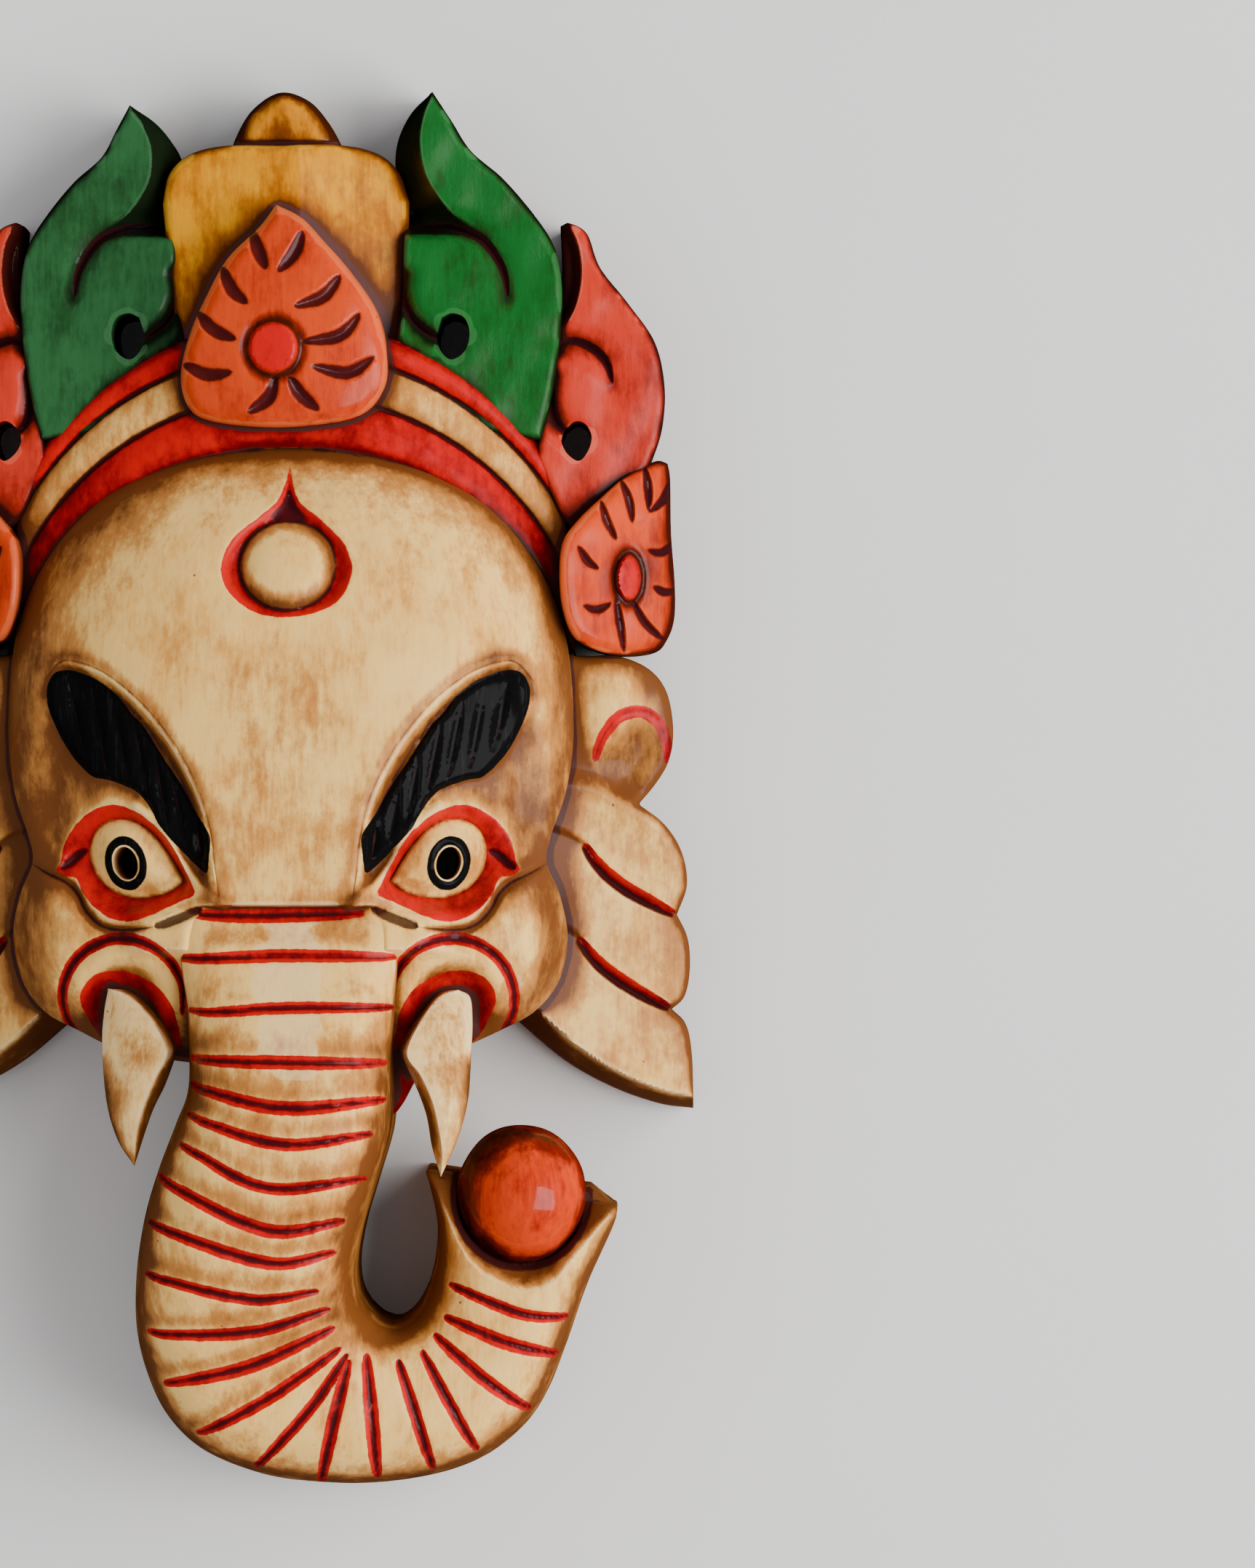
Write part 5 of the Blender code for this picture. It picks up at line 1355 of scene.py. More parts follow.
@dataclass
class Tusk:
    """A fang with a broad front and a ridge along its inner side."""

    workshop: Workshop
    name: str
    outer: Points
    inner: Points
    ridge: Points
    # The height of the ridge: y and z.
    crest: Points = (
        (-46, 51), (-50, 55), (-55, 59.5), (-62, 62.8), (-70, 64.4), (-78, 64.4), (-85, 63), (-91, 60.2),
    )
    spacing: float = 0.45

    def edge_x(self, edge: Points, y: np.ndarray) -> np.ndarray:
        """The x of an edge at each y."""
        line = curve_through(edge, 0.8)
        order = np.argsort(line[:, 1])
        return np.interp(y, line[order, 1], line[order, 0])

    def crest_height(self, y: np.ndarray) -> np.ndarray:
        """The height of the ridge."""
        line = np.array(self.crest)[::-1]
        return np.interp(y, line[:, 0], line[:, 1])

    def top(self, x: np.ndarray, y: np.ndarray) -> np.ndarray:
        """The height of the front and of the wall inside the ridge."""
        outer, ridge, inner = (self.edge_x(edge, y) for edge in (self.outer, self.ridge, self.inner))
        crest = self.crest_height(y)
        front = np.clip((outer - x) / np.where(np.abs(outer - ridge) < 0.05, 0.05, outer - ridge), 0, 1)
        wall = np.clip((x - inner) / np.where(np.abs(ridge - inner) < 0.05, 0.05, ridge - inner), 0, 1)
        on_front = (x - ridge) * np.sign(outer - ridge) > 0
        size = np.abs(outer - inner)
        return np.where(on_front, crest - np.minimum(size * 0.5, 6.5) * (1 - np.sin(front * math.pi / 2) ** 0.7),
                        crest - np.minimum(size * 0.8, 9.0) * (1 - wall ** 0.8))

    def back(self, x: np.ndarray, y: np.ndarray) -> np.ndarray:
        """The height of the rounded underside."""
        outer, inner = self.edge_x(self.outer, y), self.edge_x(self.inner, y)
        size = np.abs(outer - inner)
        t = np.clip((x - (outer + inner) / 2) / np.maximum(size / 2, 0.05), -1, 1)
        return self.crest_height(y) - np.minimum(size * 0.82, 9.2) - np.minimum(size * 0.35, 4.5) * np.sqrt(1 - t * t)

    def build(self) -> None:
        """Makes the tusk."""
        loop = loop_through([self.outer, list(reversed(self.inner))], self.spacing)
        ridge = curve_through(self.ridge, self.spacing)
        marks = Marks(stained=[(np.vstack([ridge, curve_through(self.inner, 1.0)[::-1]]), 0.45), (loop, 0.3)])
        piece = Relief(self.name, loop, self.top, self.spacing, marks, (), (ridge[2:-2],), self.back).build()
        self.workshop.finish(piece, Paint.IVORY, marks, 0.0, loop, raw_back=False)


# The ears


@dataclass
class Ear:
    """A winged ear of overlapping lobes."""

    workshop: Workshop
    name: str
    turned: int
    spacing: float = 0.6
    runs: tuple[Points, ...] = (
        ((58, 34), (67.8, 31), (76.5, 31.2), (84.4, 28.3), (89, 22.8), (90.7, 14), (89.8, 6.6), (86.8, 1),
         (82.5, -4.2)),
        ((82.5, -4.2), (88.6, -9), (92.7, -15.5), (94, -23.4), (91.6, -30.6)),
        ((91.6, -30.6), (94.2, -36.3), (94.7, -43.7), (93.4, -50.1), (90.3, -53.2)),
        ((90.3, -53.2), (93.8, -57), (95.2, -64), (95.6, -77.2)),
        ((95.6, -77.2), (87.2, -76), (76, -72), (64.5, -65.5), (52, -55)),
        ((52, -55), (55, -10), (58, 34)),
    )
    folds: tuple[Points, ...] = (
        ((69.4, -13.4), (73, -18.6), (78.4, -23.4), (84.6, -27), (91.2, -30.2)),
        ((68, -35.6), (72.5, -41.4), (78.2, -46), (84.8, -50), (90, -52.6)),
    )
    arch: Points = ((71.9, 5.8), (73.6, 11), (77.4, 16.2), (82.6, 17.8), (86.8, 15.6), (89, 10.6), (89.2, 5.6))
    shades: tuple[Shade, ...] = (
        (((72, 1), (77, -1.5), (82, -3.6)), 3.0, 0.55),
        (((64, 28), (68, 10), (67, -8), (62, -20), (66, -36), (64, -50)), 2.8, 0.36),
        (((80, 29), (88, 20), (89.6, 8), (84, -2)), 2.5, 0.3), (((58, -56), (68, -62), (80, -69)), 3.0, 0.35),
    )
    foot: Points = ((95.6, -77.2), (87.2, -76), (76, -72), (64.5, -65.5), (52, -55))
    foot_crest: Points = ((96.6, -71), (87, -70.2), (77, -66.6), (66, -60.2), (56, -52))
    lobe: Points = ((64, 2), (72, 0.4), (78, -3), (82.5, -4.2), (90, -5))
    swelling: tuple[tuple[float, float], tuple[float, float], float] = ((76, 20), (10.5, 11), 4.2)

    def height(self, x: np.ndarray, y: np.ndarray) -> np.ndarray:
        """The height of the ear before its strokes are cut."""
        side = np.abs(x)
        z = 27.5 - 0.22 * (side - 65) + 1.5 * np.sin((y + 20) / 30) + 0.3 * lumps(x, y, 6, 2)
        z = z + bulge(side, y, *self.swelling)
        arch = np.vstack([curve_through(self.arch, 1.0), [(84, -4), (76, -2)]])
        z = z - 1.7 * smoothstep(depth_in(arch, side, y, 8.0), -0.5, 7.0)
        lobe = curve_through(self.lobe, 1.0)
        below = np.interp(side, lobe[:, 0], lobe[:, 1]) - y
        z = z + 1.8 * smoothstep(below, -3.5, 1.5) * np.exp(-np.clip(below - 1.5, 0, None) / 14)
        for fold in self.folds:
            line = curve_through(((60, fold[0][1] + 4), *fold, (96, fold[-1][1] - 3)), 1.0)
            under = np.interp(side, line[:, 0], line[:, 1]) - y
            z = z - 1.3 * np.exp(-np.clip(under, 0, None) / 9) * smoothstep(under, -1.2, 0.6)
        loop = loop_through(self.runs, 1.0)
        z = z - rounded(depth_in(loop, side, y, 4.0), 2.4)
        foot, _ = nearest(curve_through(self.foot, 1.0), side, y, 8.0)
        return np.minimum(z, 6.5 + foot * 3.7)

    def build(self) -> None:
        """Makes the ear."""
        loop = loop_through(self.runs if self.turned > 0 else mirrored(self.runs), 0.6)
        strokes = []
        for fold in self.folds:
            lower = tuple((x - 0.5, y - 0.85) for x, y in fold)
            strokes += [Gouge(tuple(fold), 3.2, 1.0, 3.4, 0.01, 0.9), Gouge(lower, 2.4, 1.8, 0, 2.0, 0.9)]
        strokes.append(Gouge(tuple(self.arch), 2.2, 0.25, 3.1, 0.01, 1.0))
        under_arch = np.array([*self.arch, (86.5, -1), (82.5, -4.5), (77, -2.5)], float) * (self.turned, 1)
        marks = Marks([stroke.on_side(self.turned) for stroke in strokes],
                      stained=[(loop, 0.13), (under_arch, 0.38)], shaded=shades_on(self.shades, self.turned))
        rows = (curve_through(self.foot_crest, 0.6) * (self.turned, 1),)
        piece = Relief(self.name, loop, self.height, self.spacing, marks, (), rows).build()
        self.workshop.finish(piece, Paint.CREAM, marks, 2.2, loop)


# The crown


@dataclass
class Band:
    """The hoop across the forehead: two red strips with a cream one between."""

    workshop: Workshop
    outer: tuple[float, float] = (34.2, 75.6)
    inner: tuple[float, float] = (9.4, 70.6)
    reach: float = 67.5
    grooves: tuple[float, float] = (0.24, 0.58)
    top: float = 41.5
    end_drop: float = 15.5
    spacing: float = 0.6

    def edges(self) -> list[np.ndarray]:
        """The hoop's outer and inner edges from its right end to its left."""
        made = []
        for (centre, radius), share in ((self.outer, 0.93), (self.inner, 1.0)):
            half = share * math.asin(min(1.0, self.reach / radius))
            angles = np.linspace(math.pi / 2 - half, math.pi / 2 + half, 240)
            made.append(arc((0, centre), (radius, radius), angles))
        return made

    def share(self, x: np.ndarray, y: np.ndarray) -> np.ndarray:
        """0 at the hoop's outer edge and 1 at its inner one."""
        outer = self.outer[1] - np.hypot(x, y - self.outer[0])
        inner = np.hypot(x, y - self.inner[0]) - self.inner[1]
        return outer / np.maximum(outer + inner, 1e-6)

    def height(self, x: np.ndarray, y: np.ndarray) -> np.ndarray:
        """The height of the hoop, which slopes back to its ends."""
        share = self.share(x, y)
        z = self.top - self.end_drop * (np.abs(x) / 68) ** 2
        for low, high in zip((0, *self.grooves), (*self.grooves, 1)):
            across = np.clip((share - low) / (high - low), 0, 1)
            z = z - np.where((share >= low) & (share <= high), 1.5 * np.abs(2 * across - 1) ** 2.2, 0)
        z = z - 2.0 * smoothstep(np.abs(share - 0.5), 0.4, 0.5)
        return z + 0.12 * lumps(x, y, 3, 5)

    def build(self) -> None:
        """Makes the hoop."""
        outer, inner = self.edges()
        loop = np.vstack([outer, inner[::-1]])
        lines = [outer * (1 - share) + inner * share for share in self.grooves]
        marks = Marks([Gouge(as_tuples(line[2:-2:6]), 2.0, 0.8, 0, 1.5, 1.0) for line in lines])
        marks.red = [np.vstack([outer, lines[0][::-1]]), np.vstack([lines[1], inner[::-1]])]
        piece = Relief("band", loop, self.height, self.spacing, marks).build()
        marks.stained.append((loop, 0.3))
        self.workshop.finish(piece, Paint.STRIPED, marks, 1.6, loop)


@dataclass
class Crest:
    """The tall plate in the middle of the crown, with a half-round knob on top."""

    workshop: Workshop
    plate: tuple[Points, ...] = (
        ((-1.5, 152), (11, 152.2), (20.2, 150.4), (25.4, 146), (27.9, 139)),
        ((27.9, 139), (27.6, 128), (26.6, 113), (25, 97), (-1.5, 97)),
        ((-1.5, 97), (-26.2, 97), (-27.2, 108), (-29, 124), (-30.4, 138)),
        ((-30.4, 138), (-29, 145), (-24, 149.8), (-15.4, 151.9), (-1.5, 152)),
    )
    ridge_x: float = 2.0
    right_fall: float = 0.29
    left_fall: float = 0.07
    knob: tuple[Points, ...] = (
        ((-14.6, 149), (-13.6, 153.5), (-9.5, 160.6), (-2.8, 164.9), (4, 163), (8.8, 157.8), (12, 152), (12.6, 149)),
        ((12.6, 149), (-14.6, 149)),
    )

    def build(self) -> None:
        """Makes the plate and its knob."""
        loop = loop_through(self.plate, 0.6)
        loop = loop[np.r_[True, np.hypot(*np.diff(loop, axis=0).T) > 0.2]]

        def plate_height(x: np.ndarray, y: np.ndarray) -> np.ndarray:
            """The height of the plate, which falls away on both sides of its ridge."""
            beyond = x - self.ridge_x
            fall = np.where(beyond > 0, self.right_fall * beyond, -self.left_fall * beyond)
            return (36.0 - fall - 0.02 * (y - 120) - rounded(depth_in(loop, x, y, 4.0), 2.6)
                    + 0.05 * lumps(x, y, 5, 7))

        ridge = np.array([(self.ridge_x, y) for y in np.arange(98.0, 151.0, 0.6)])
        piece = Relief("crest", loop, plate_height, 0.6, rows=(ridge,)).build()
        self.workshop.finish(piece, Paint.YELLOW, Marks(stained=[(loop, 0.08)]), 1.4, loop)
        top = loop_through(self.knob, 0.5)

        def knob_height(x: np.ndarray, y: np.ndarray) -> np.ndarray:
            """The height of the round knob, which dips where it meets the plate."""
            dip = 1.2 * smoothstep(153.6 - y, 0, 1.5)
            return 31.5 - 0.05 * np.abs(x) - rounded(depth_in(top, x, y, 7.0), 5.0) - dip

        piece = Relief("crest_knob", top, knob_height, 0.5).build()
        self.workshop.finish(piece, Paint.OCHRE, Marks(stained=[(top, 0.05)]), 1.4, top)


@dataclass
class Leaf:
    """A leaf of the crown: a pointed tip over a round scroll, pierced once."""

    workshop: Workshop
    name: str
    paint: Paint
    turned: int
    runs: tuple[Points, ...]
    bevel: Points
    scroll: Points
    tail: Points
    hole: Points
    top: float
    slope: float
    inner: float
    lean: float = 0.0
    bevel_drop: float = 13.0
    spacing: float = 0.5

    def leaned(self, points: Points) -> np.ndarray:
        """Points moved sideways the more the higher they lie, then put on the leaf's side."""
        made = np.array(points, float)
        bend = self.lean * np.clip((made[:, 1] - 120) / 44, 0, None) ** 2
        return (made + np.stack([bend, -0.7 * bend], 1)) * (self.turned, 1)

    def closed(self, runs: Sequence[Points], step: float) -> np.ndarray:
        """A loop on the leaf's side."""
        return loop_through([self.leaned(run).tolist() for run in runs], step)

    def height(self, x: np.ndarray, y: np.ndarray) -> np.ndarray:
        """The height of the leaf before its strokes are cut."""
        side = np.abs(x)
        z = self.top - self.slope * (side - self.inner) + 0.8 * np.sin((y - 80) / 11) + 0.25 * lumps(x, y, 4, 3)
        scroll, tail = (curve_through(self.leaned(line).tolist(), 0.8) for line in (self.scroll, self.tail))
        for line, depth, width in ((scroll, 2.8, 3.2), (tail, 2.2, 2.6)):
            gap, share = nearest(line, x, y, 12.0)
            z = z - depth * np.exp(-((gap / width) ** 2)) * (1 - 0.75 * share if line is scroll else 1)
        bevel = curve_through(self.leaned(self.bevel).tolist(), 0.8)
        zone = np.vstack([bevel, [(bevel[-1][0], bevel[-1][1] - 6), (0, bevel[-1][1] - 6), (0, 175)]])
        gap, _ = nearest(bevel, x, y, 12.0)
        falling = inside(zone, x, y) * smoothstep(y, bevel[-1][1] - 2, bevel[-1][1] + 6)
        z = z - np.minimum(gap * 1.9, self.bevel_drop) * falling
        return z - rounded(depth_in(self.closed(self.runs, 1.0), x, y, 3.0), 1.8)

    def build(self) -> None:
        """Makes the leaf."""
        loop = self.closed(self.runs, 0.5)
        hole = self.closed([self.hole], 0.5)
        scroll = Gouge(as_tuples(self.leaned(self.scroll)), 2.6, 1.5, 0, 2.2, 0.7)
        tail = Gouge(as_tuples(self.leaned(self.tail)), 2.2, 1.4, 0, 1.9, 0.9)
        bevel = curve_through(self.leaned(self.bevel).tolist(), 0.5)
        zone = np.vstack([bevel, [(0, bevel[-1][1]), (0, 175)]])
        marks = Marks([scroll, tail], stained=[(zone, 1.0)],
                      shaded=[(scroll.points, 1.9, 0.4), (tail.points, 2.0, 0.6)])
        piece = Relief(self.name, loop, self.height, self.spacing, marks, [hole], (bevel[2:-2],)).build()
        self.workshop.finish(piece, self.paint, marks, 0.9, loop)


@dataclass
class Flower:
    """A lotus bud with a red button, cut with curved strokes."""

    workshop: Workshop
    name: str
    outline: Points
    button: tuple[float, float, float, float]
    strokes: tuple[Points, ...]
    height: Surface
    turned: int = 1
    stroke_width: float = 3.9
    spacing: float = 0.5

    def build(self) -> None:
        """Makes the bud."""
        loop = loop_through([self.outline], 0.5)
        if self.turned < 0:
            loop = (loop * (-1, 1))[::-1]
        strokes = [Gouge(stroke, self.stroke_width, 1.3, 0, 0.85 * self.stroke_width, 0.6).on_side(self.turned)
                   for stroke in self.strokes]
        x0, y0, half_x, half_y = self.button
        round_button, rim = (
            arc((x0, y0), (half_x + wider, half_y + wider), all_round(48)) * (self.turned, 1) for wider in (0, 0.5)
        )
        marks = Marks(strokes, red=[round_button], shaded=[(as_tuples([*rim[::4], rim[0]]), 3.0, 0.5)])

        def top(x: np.ndarray, y: np.ndarray) -> np.ndarray:
            """The height of the bud with its button and its rounded edge."""
            out = np.hypot((x * self.turned - x0) / half_x, (y - y0) / half_y)
            return (self.height(x * self.turned, y) + 1.5 * smoothstep(1.07 - out, 0, 0.14)
                    - 0.7 * np.exp(-(((out - 1.22) / 0.2) ** 2))
                    - rounded(depth_in(loop, x, y, 5.0), 3.6) + 0.15 * lumps(x, y, 3.5, 6))

        piece = Relief(self.name, loop, top, self.spacing, marks, (), (rim,)).build()
        self.workshop.finish(piece, Paint.ORANGE, marks, 0.8, loop)


@dataclass
class Crown:
    """The leaves and flowers on both sides of the crest."""

    workshop: Workshop
    green: tuple[Points, ...] = (
        ((33.6, 164.6), (38.2, 157.6), (42.8, 150.6), (50.2, 144.3), (57.6, 135.8), (62.4, 128.1), (64.3, 118.8),
         (63.9, 105.9), (62, 93), (59.5, 82)),
        ((59.5, 82), (45, 84), (30, 92), (24, 100)),
        ((24, 100), (26, 111.4), (26.6, 121), (27.0, 133.6)),
        ((27.0, 133.6), (25.6, 140.2), (24.5, 147), (25.2, 153.6), (28.4, 159.8), (33.6, 164.6)),
    )
    green_bevel: Points = ((33.6, 163.6), (31.8, 159.1), (30.8, 153.1), (31.8, 146.1), (34.3, 141), (38.3, 136),
                           (44.4, 131.2))
    green_scroll: Points = ((28.0, 133.3), (32.3, 133), (37.3, 133), (41.4, 131.7), (45.4, 129.7), (48.9, 125.2),
                            (50.7, 120.9), (51.4, 115.9))
    green_tail: Points = ((26.8, 121), (26.4, 117.5), (27.4, 113.4), (30, 109.4), (35.4, 105.6))
    green_hole: Points = ((35.8, 111.1), (38.3, 112.1), (41.2, 111), (42.4, 107.4), (41.4, 103.3), (38.3, 101.1),
                          (35.8, 102.8), (34.6, 106.6), (35.8, 111.1))
    red: tuple[Points, ...] = (
        ((63.8, 133.4), (66, 133.9), (70.2, 131.4), (73.3, 123.4), (79.8, 115.1), (86.2, 105.9), (88.6, 95.7),
         (88.1, 85.6), (85, 76)),
        ((85, 76), (76, 66), (66, 62), (58, 78)),
        ((58, 78), (60.6, 93), (63, 106), (64.2, 122), (63.8, 133.4)),
    )
    red_bevel: Points = ((66.2, 133.4), (68.4, 128), (69, 121), (67.6, 114), (64.4, 108))
    red_scroll: Points = ((63.6, 105), (66.8, 105.9), (71, 104.4), (74.6, 101), (76.2, 95.6))
    red_tail: Points = ((61.6, 97), (61.6, 91), (63, 86.4), (66.4, 83))
    red_hole: Points = ((64.9, 84.8), (67.4, 86.7), (69.9, 86), (71.3, 83), (70.3, 79.4), (68.2, 77.3), (65.5, 79),
                        (64.1, 82), (64.9, 84.8))
    lotus: Points = (
        (-3, 137.2), (-7, 131.8), (-14.4, 124.4), (-19.6, 115.1), (-23.6, 105.9), (-25.5, 96.7), (-23.6, 89.3),
        (-18.1, 86), (-5.2, 84.5), (7.8, 85.2), (17, 87.4), (22.2, 93), (23.3, 100.4), (21.1, 111.4), (15.1, 120.7),
        (8.7, 128.1), (3.1, 134), (-3, 137.2),
    )
    lotus_button: tuple[float, float, float, float] = (-3.4, 103.1, 5.6, 5.8)
    lotus_strokes: tuple[Points, ...] = (
        ((-8.6, 131.2), (-7, 126.1), (-5, 121.5)), ((3.4, 131), (1.5, 125.6), (-2.4, 120.9)),
        ((-15.6, 122.4), (-13.3, 117), (-9.4, 113.4)), ((-21.4, 111.8), (-17.5, 107.4), (-12, 105)),
        ((-24.9, 99.5), (-18.9, 96.9), (-13, 97.5)), ((12.4, 120.4), (8.3, 115.3), (1.4, 112.7)),
        ((17, 111.4), (12.3, 106.2), (3.4, 104.4)), ((20.4, 101.2), (14, 97.4), (5.4, 98.9)),
        ((-2.8, 96.6), (-4.5, 91.5), (-9.6, 87.8)), ((0.3, 96.4), (3.2, 92), (7.4, 88.4)),
    )
    bud: Points = (
        (89.4, 77), (90, 72.8), (90.2, 60.3), (91.1, 47.9), (90.9, 39.6), (89, 34.6), (86.5, 32.1), (80.7, 31.1),
        (74.1, 31.7), (67.4, 35), (64.5, 41.6), (63.7, 49.9), (64.5, 57.8), (68.2, 63.2), (73.2, 68.2), (78.2, 72.8),
        (83.2, 75.9), (86.9, 77.6), (89.4, 77),
    )
    bud_button: tuple[float, float, float, float] = (80.1, 49.5, 2.8, 5.2)
    bud_strokes: tuple[Points, ...] = (
        ((73.4, 67.8), (74.9, 62.8), (77.2, 58.3)), ((78.2, 72.8), (80.1, 67.8), (81, 62.4)),
        ((83.7, 76.3), (84.6, 71.5), (84.8, 65.2)), ((90, 72.8), (88.2, 68.2), (84.8, 64.9)),
        ((68, 57), (70.3, 53.3), (73, 51.4)), ((69.3, 42.9), (72.4, 41.8), (76, 43.5)),
        ((77, 45), (77.8, 39.6), (79, 31.8)), ((81, 44.2), (84, 38.7), (88.5, 34.8)),
        ((84.4, 56.2), (87.8, 55.6), (90.6, 57.9)), ((85.8, 47.6), (88.6, 46.2), (91.2, 46.9)),
    )

    def leaves(self) -> list[Leaf]:
        """The green and the red leaf of each side."""
        made = []
        for side, turned in SIDES:
            green = Paint.GREEN if turned > 0 else Paint.BLUE_GREEN
            made.append(Leaf(self.workshop, f"green_leaf_{side}", green, turned, self.green, self.green_bevel,
                             self.green_scroll, self.green_tail, self.green_hole, 35.5, 0.15, 26.0,
                             0.0 if turned > 0 else 4.4))
            made.append(Leaf(self.workshop, f"red_leaf_{side}", Paint.CORAL, turned, self.red, self.red_bevel,
                             self.red_scroll, self.red_tail, self.red_hole, 29.5, 0.17, 63.0, bevel_drop=4.5))
        return made

    def flowers(self) -> list[Flower]:
        """The lotus in the middle and the bud at each end of the band."""

        def lotus_height(x: np.ndarray, y: np.ndarray) -> np.ndarray:
            """The height of the lotus, a low dome."""
            return 46.5 + 3.4 * np.clip(1 - np.hypot((x + 2) / 24, (y - 106) / 30) ** 2, 0, 1)

        def bud_height(x: np.ndarray, y: np.ndarray) -> np.ndarray:
            """The height of a side bud, which slopes down to its outer edge."""
            return 40.5 - 0.68 * (x - 66) - 0.002 * (y - 54) ** 2

        made = [Flower(self.workshop, "lotus", self.lotus, self.lotus_button, self.lotus_strokes, lotus_height)]
        for side, turned in SIDES:
            made.append(Flower(self.workshop, f"bud_{side}", self.bud, self.bud_button, self.bud_strokes,
                               bud_height, turned, 2.5))
        return made

    def build(self) -> None:
        """Makes the crest, the leaves, the hoop and the flowers."""
        Crest(self.workshop).build()
        for leaf in self.leaves():
            leaf.build()
        Band(self.workshop).build()
        for flower in self.flowers():
            flower.build()


@dataclass
class Back:
    """The flat back of bare wood that all parts share."""

    workshop: Workshop
    hollow: Hollow
    thickness: float = 8.0
    inset: float = 0.2

    def shrunk(self, loop: np.ndarray) -> np.ndarray:
        """A loop moved inwards by the inset."""
        return loop + inwards(loop) * self.inset

    def build(self, loops: list[np.ndarray], holes: list[np.ndarray]) -> None:
        """Makes the back as one sheet over all outlines, extruded to the floor.

        Args:
            loops: The outlines that it joins.
            holes: Loops that it leaves open.
        """
        oval = arc((0, self.hollow.centre_y), (self.hollow.width / 2, self.hollow.length / 2), all_round(120))
        outlines = [self.shrunk(loop)[::2] for loop in loops]
        flat, faces = plate(outlines, [oval, *map(self.shrunk, holes)], np.empty((0, 2)), 1e-4)
        upper = np.column_stack([flat, np.full(len(flat), self.thickness)])
        lower = np.column_stack([flat, np.zeros(len(flat))])
        piece = block("back", upper, lower, faces)
        point_outwards(piece)
        self.workshop.finish(piece, Paint.UMBER)


@dataclass
class Studio:
    """A pale floor, soft lights and the camera."""

    camera_place: tuple[float, float, float] = (0.0798, 0.0006, 2.045)
    lens: float = 195.0
    key_place: tuple[float, float, float] = (1.31, -0.22, 1.37)
    key_size: tuple[float, float] = (0.98, 1.5)

    def floor(self) -> None:
        """Lays the pale floor."""
        bpy.ops.object.select_all(action="DESELECT")
        bpy.ops.mesh.primitive_plane_add(size=8.0, location=(0, 0, -0.0004))
        floor = bpy.context.object
        floor.name = "floor"
        board = Board("floor_paper")
        grain = board.noise(60.0, 3.0)
        board.feed(board.shader.inputs["Base Color"],
                   board.mix(grain, (236, 234, 230), (240, 238, 235)))
        board.shader.inputs["Roughness"].default_value = 0.9
        floor.data.materials.append(board.material)
        floor.visible_glossy = False

    def light(self, name: str, place: tuple[float, float, float], size: tuple[float, float], power: float,
              mirrored_too: bool = True) -> None:
        """Adds a soft rectangular light that faces the mask.

        Args:
            name: Its name.
            place: Its middle, in metres.
            size: Its width and height.
            power: Its power in watts.
            mirrored_too: Whether the varnish mirrors it.
        """
        lamp = bpy.data.lights.new(name, "AREA")
        lamp.shape, lamp.size, lamp.size_y, lamp.energy = "RECTANGLE", *size, power
        holder = bpy.data.objects.new(name, lamp)
        holder.location = place
        holder.rotation_euler = (Vector((0, 0, 0.04)) - Vector(place)).to_track_quat("-Z", "Y").to_euler()
        holder.visible_glossy = mirrored_too
        bpy.context.scene.collection.objects.link(holder)

    def build(self) -> None:
        """Sets up the studio."""
        self.floor()
        self.light("key", self.key_place, self.key_size, 23.0)
        self.light("key_fill", self.key_place, self.key_size, 15.0, False)
        self.light("side_wall", (1.7, 0.5, 0.9), (1.4, 1.4), 32.0, False)
        self.light("far_wall", (-1.3, -0.3, 1.9), (1.6, 1.6), 8.0, False)
        world = bpy.data.worlds.new("studio")
        world.use_nodes = True
        world.node_tree.nodes["Background"].inputs["Color"].default_value = (0.93, 0.95, 1.0, 1.0)
        world.node_tree.nodes["Background"].inputs["Strength"].default_value = 0.5
        world.cycles_visibility.glossy = False
        bpy.context.scene.world = world
        lens = bpy.data.cameras.new("camera")
        lens.lens, lens.sensor_fit, lens.sensor_height = self.lens, "VERTICAL", 36.0
        lens.clip_start, lens.clip_end = 0.05, 20.0
        holder = bpy.data.objects.new("camera", lens)
        holder.location = self.camera_place
        bpy.context.scene.collection.objects.link(holder)
        bpy.context.scene.camera = holder


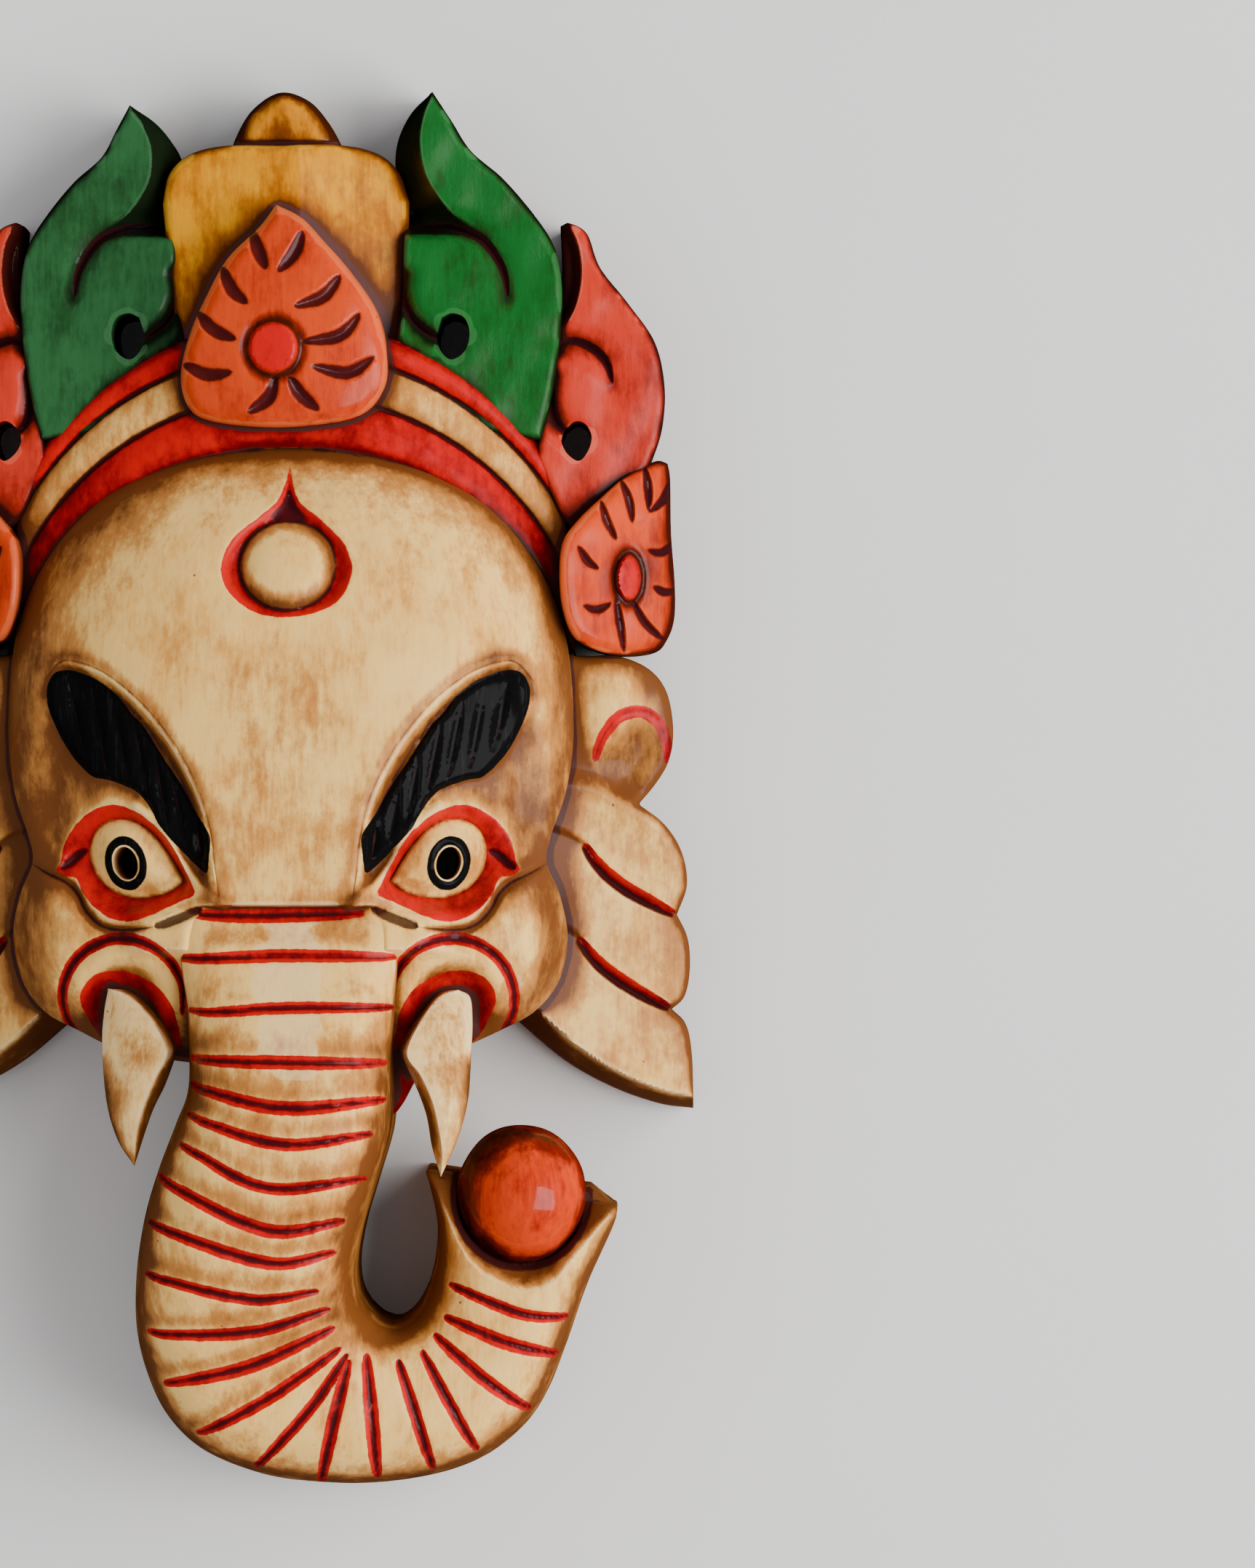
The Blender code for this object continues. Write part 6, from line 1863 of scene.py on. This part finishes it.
def tusks(workshop: Workshop) -> list[Tusk]:
    """The right tusk, and the left one, which is a little shorter and turned the other way."""
    right = Tusk(
        workshop, "tusk_right",
        ((40.1, -47.7), (42.8, -49.5), (43.4, -55), (43.2, -62.1), (42.5, -73.2), (40.1, -82.5), (36.2, -91.2)),
        ((40.1, -47.7), (35.5, -48.6), (30.5, -54), (27.1, -60), (26.8, -63.1), (29.9, -69.5), (32.7, -76.9),
         (34.1, -84.3), (36.2, -91.2)),
        ((40.1, -47.7), (35.7, -49.4), (31.2, -55.4), (28.4, -62.4), (31.6, -67.4), (34.4, -73.6), (35.9, -80.2),
         (36.6, -86), (36.2, -91.2)),
    )
    left = Tusk(
        workshop, "tusk_left",
        ((-42.1, -47.4), (-43.0, -53), (-43.2, -60.3), (-42.1, -73.2), (-39.3, -82.5), (-35.3, -88.6)),
        ((-42.1, -47.4), (-36.5, -48.4), (-30, -54.4), (-26.4, -60), (-26, -62.6), (-28.3, -69.5), (-31, -75.1),
         (-32.9, -80.6), (-35.3, -88.6)),
        ((-42.1, -47.4), (-36.8, -49.4), (-31, -55.4), (-27.8, -62), (-30.4, -68), (-33, -74.4), (-34.8, -81),
         (-35.3, -88.6)),
    )
    return [right, left]


def main() -> None:
    """Builds the mask, then the studio round it."""
    logging.basicConfig(level=logging.INFO, format="%(message)s")
    workshop, hollow = Workshop(), Hollow()
    Face(hollow, workshop).build()
    for side, turned in SIDES:
        Ear(workshop, f"ear_{side}", turned).build()
    Crown(workshop).build()
    trunk = Trunk(workshop)
    trunk.build()
    Sweet(workshop).build()
    for tusk in tusks(workshop):
        tusk.build()
    clear_of_back = ("trunk", "sweet", "tusk_right", "tusk_left")
    loops = [loop for piece, _, _, loop in workshop.pieces if piece.name not in clear_of_back]
    holes = [leaf.closed([leaf.hole], 0.5) for leaf in Crown(workshop).leaves()]
    Back(workshop, hollow).build([*loops, trunk.outline(7)], holes)
    workshop.rub_wax()
    Studio().build()


if __name__ == "__main__":
    main()
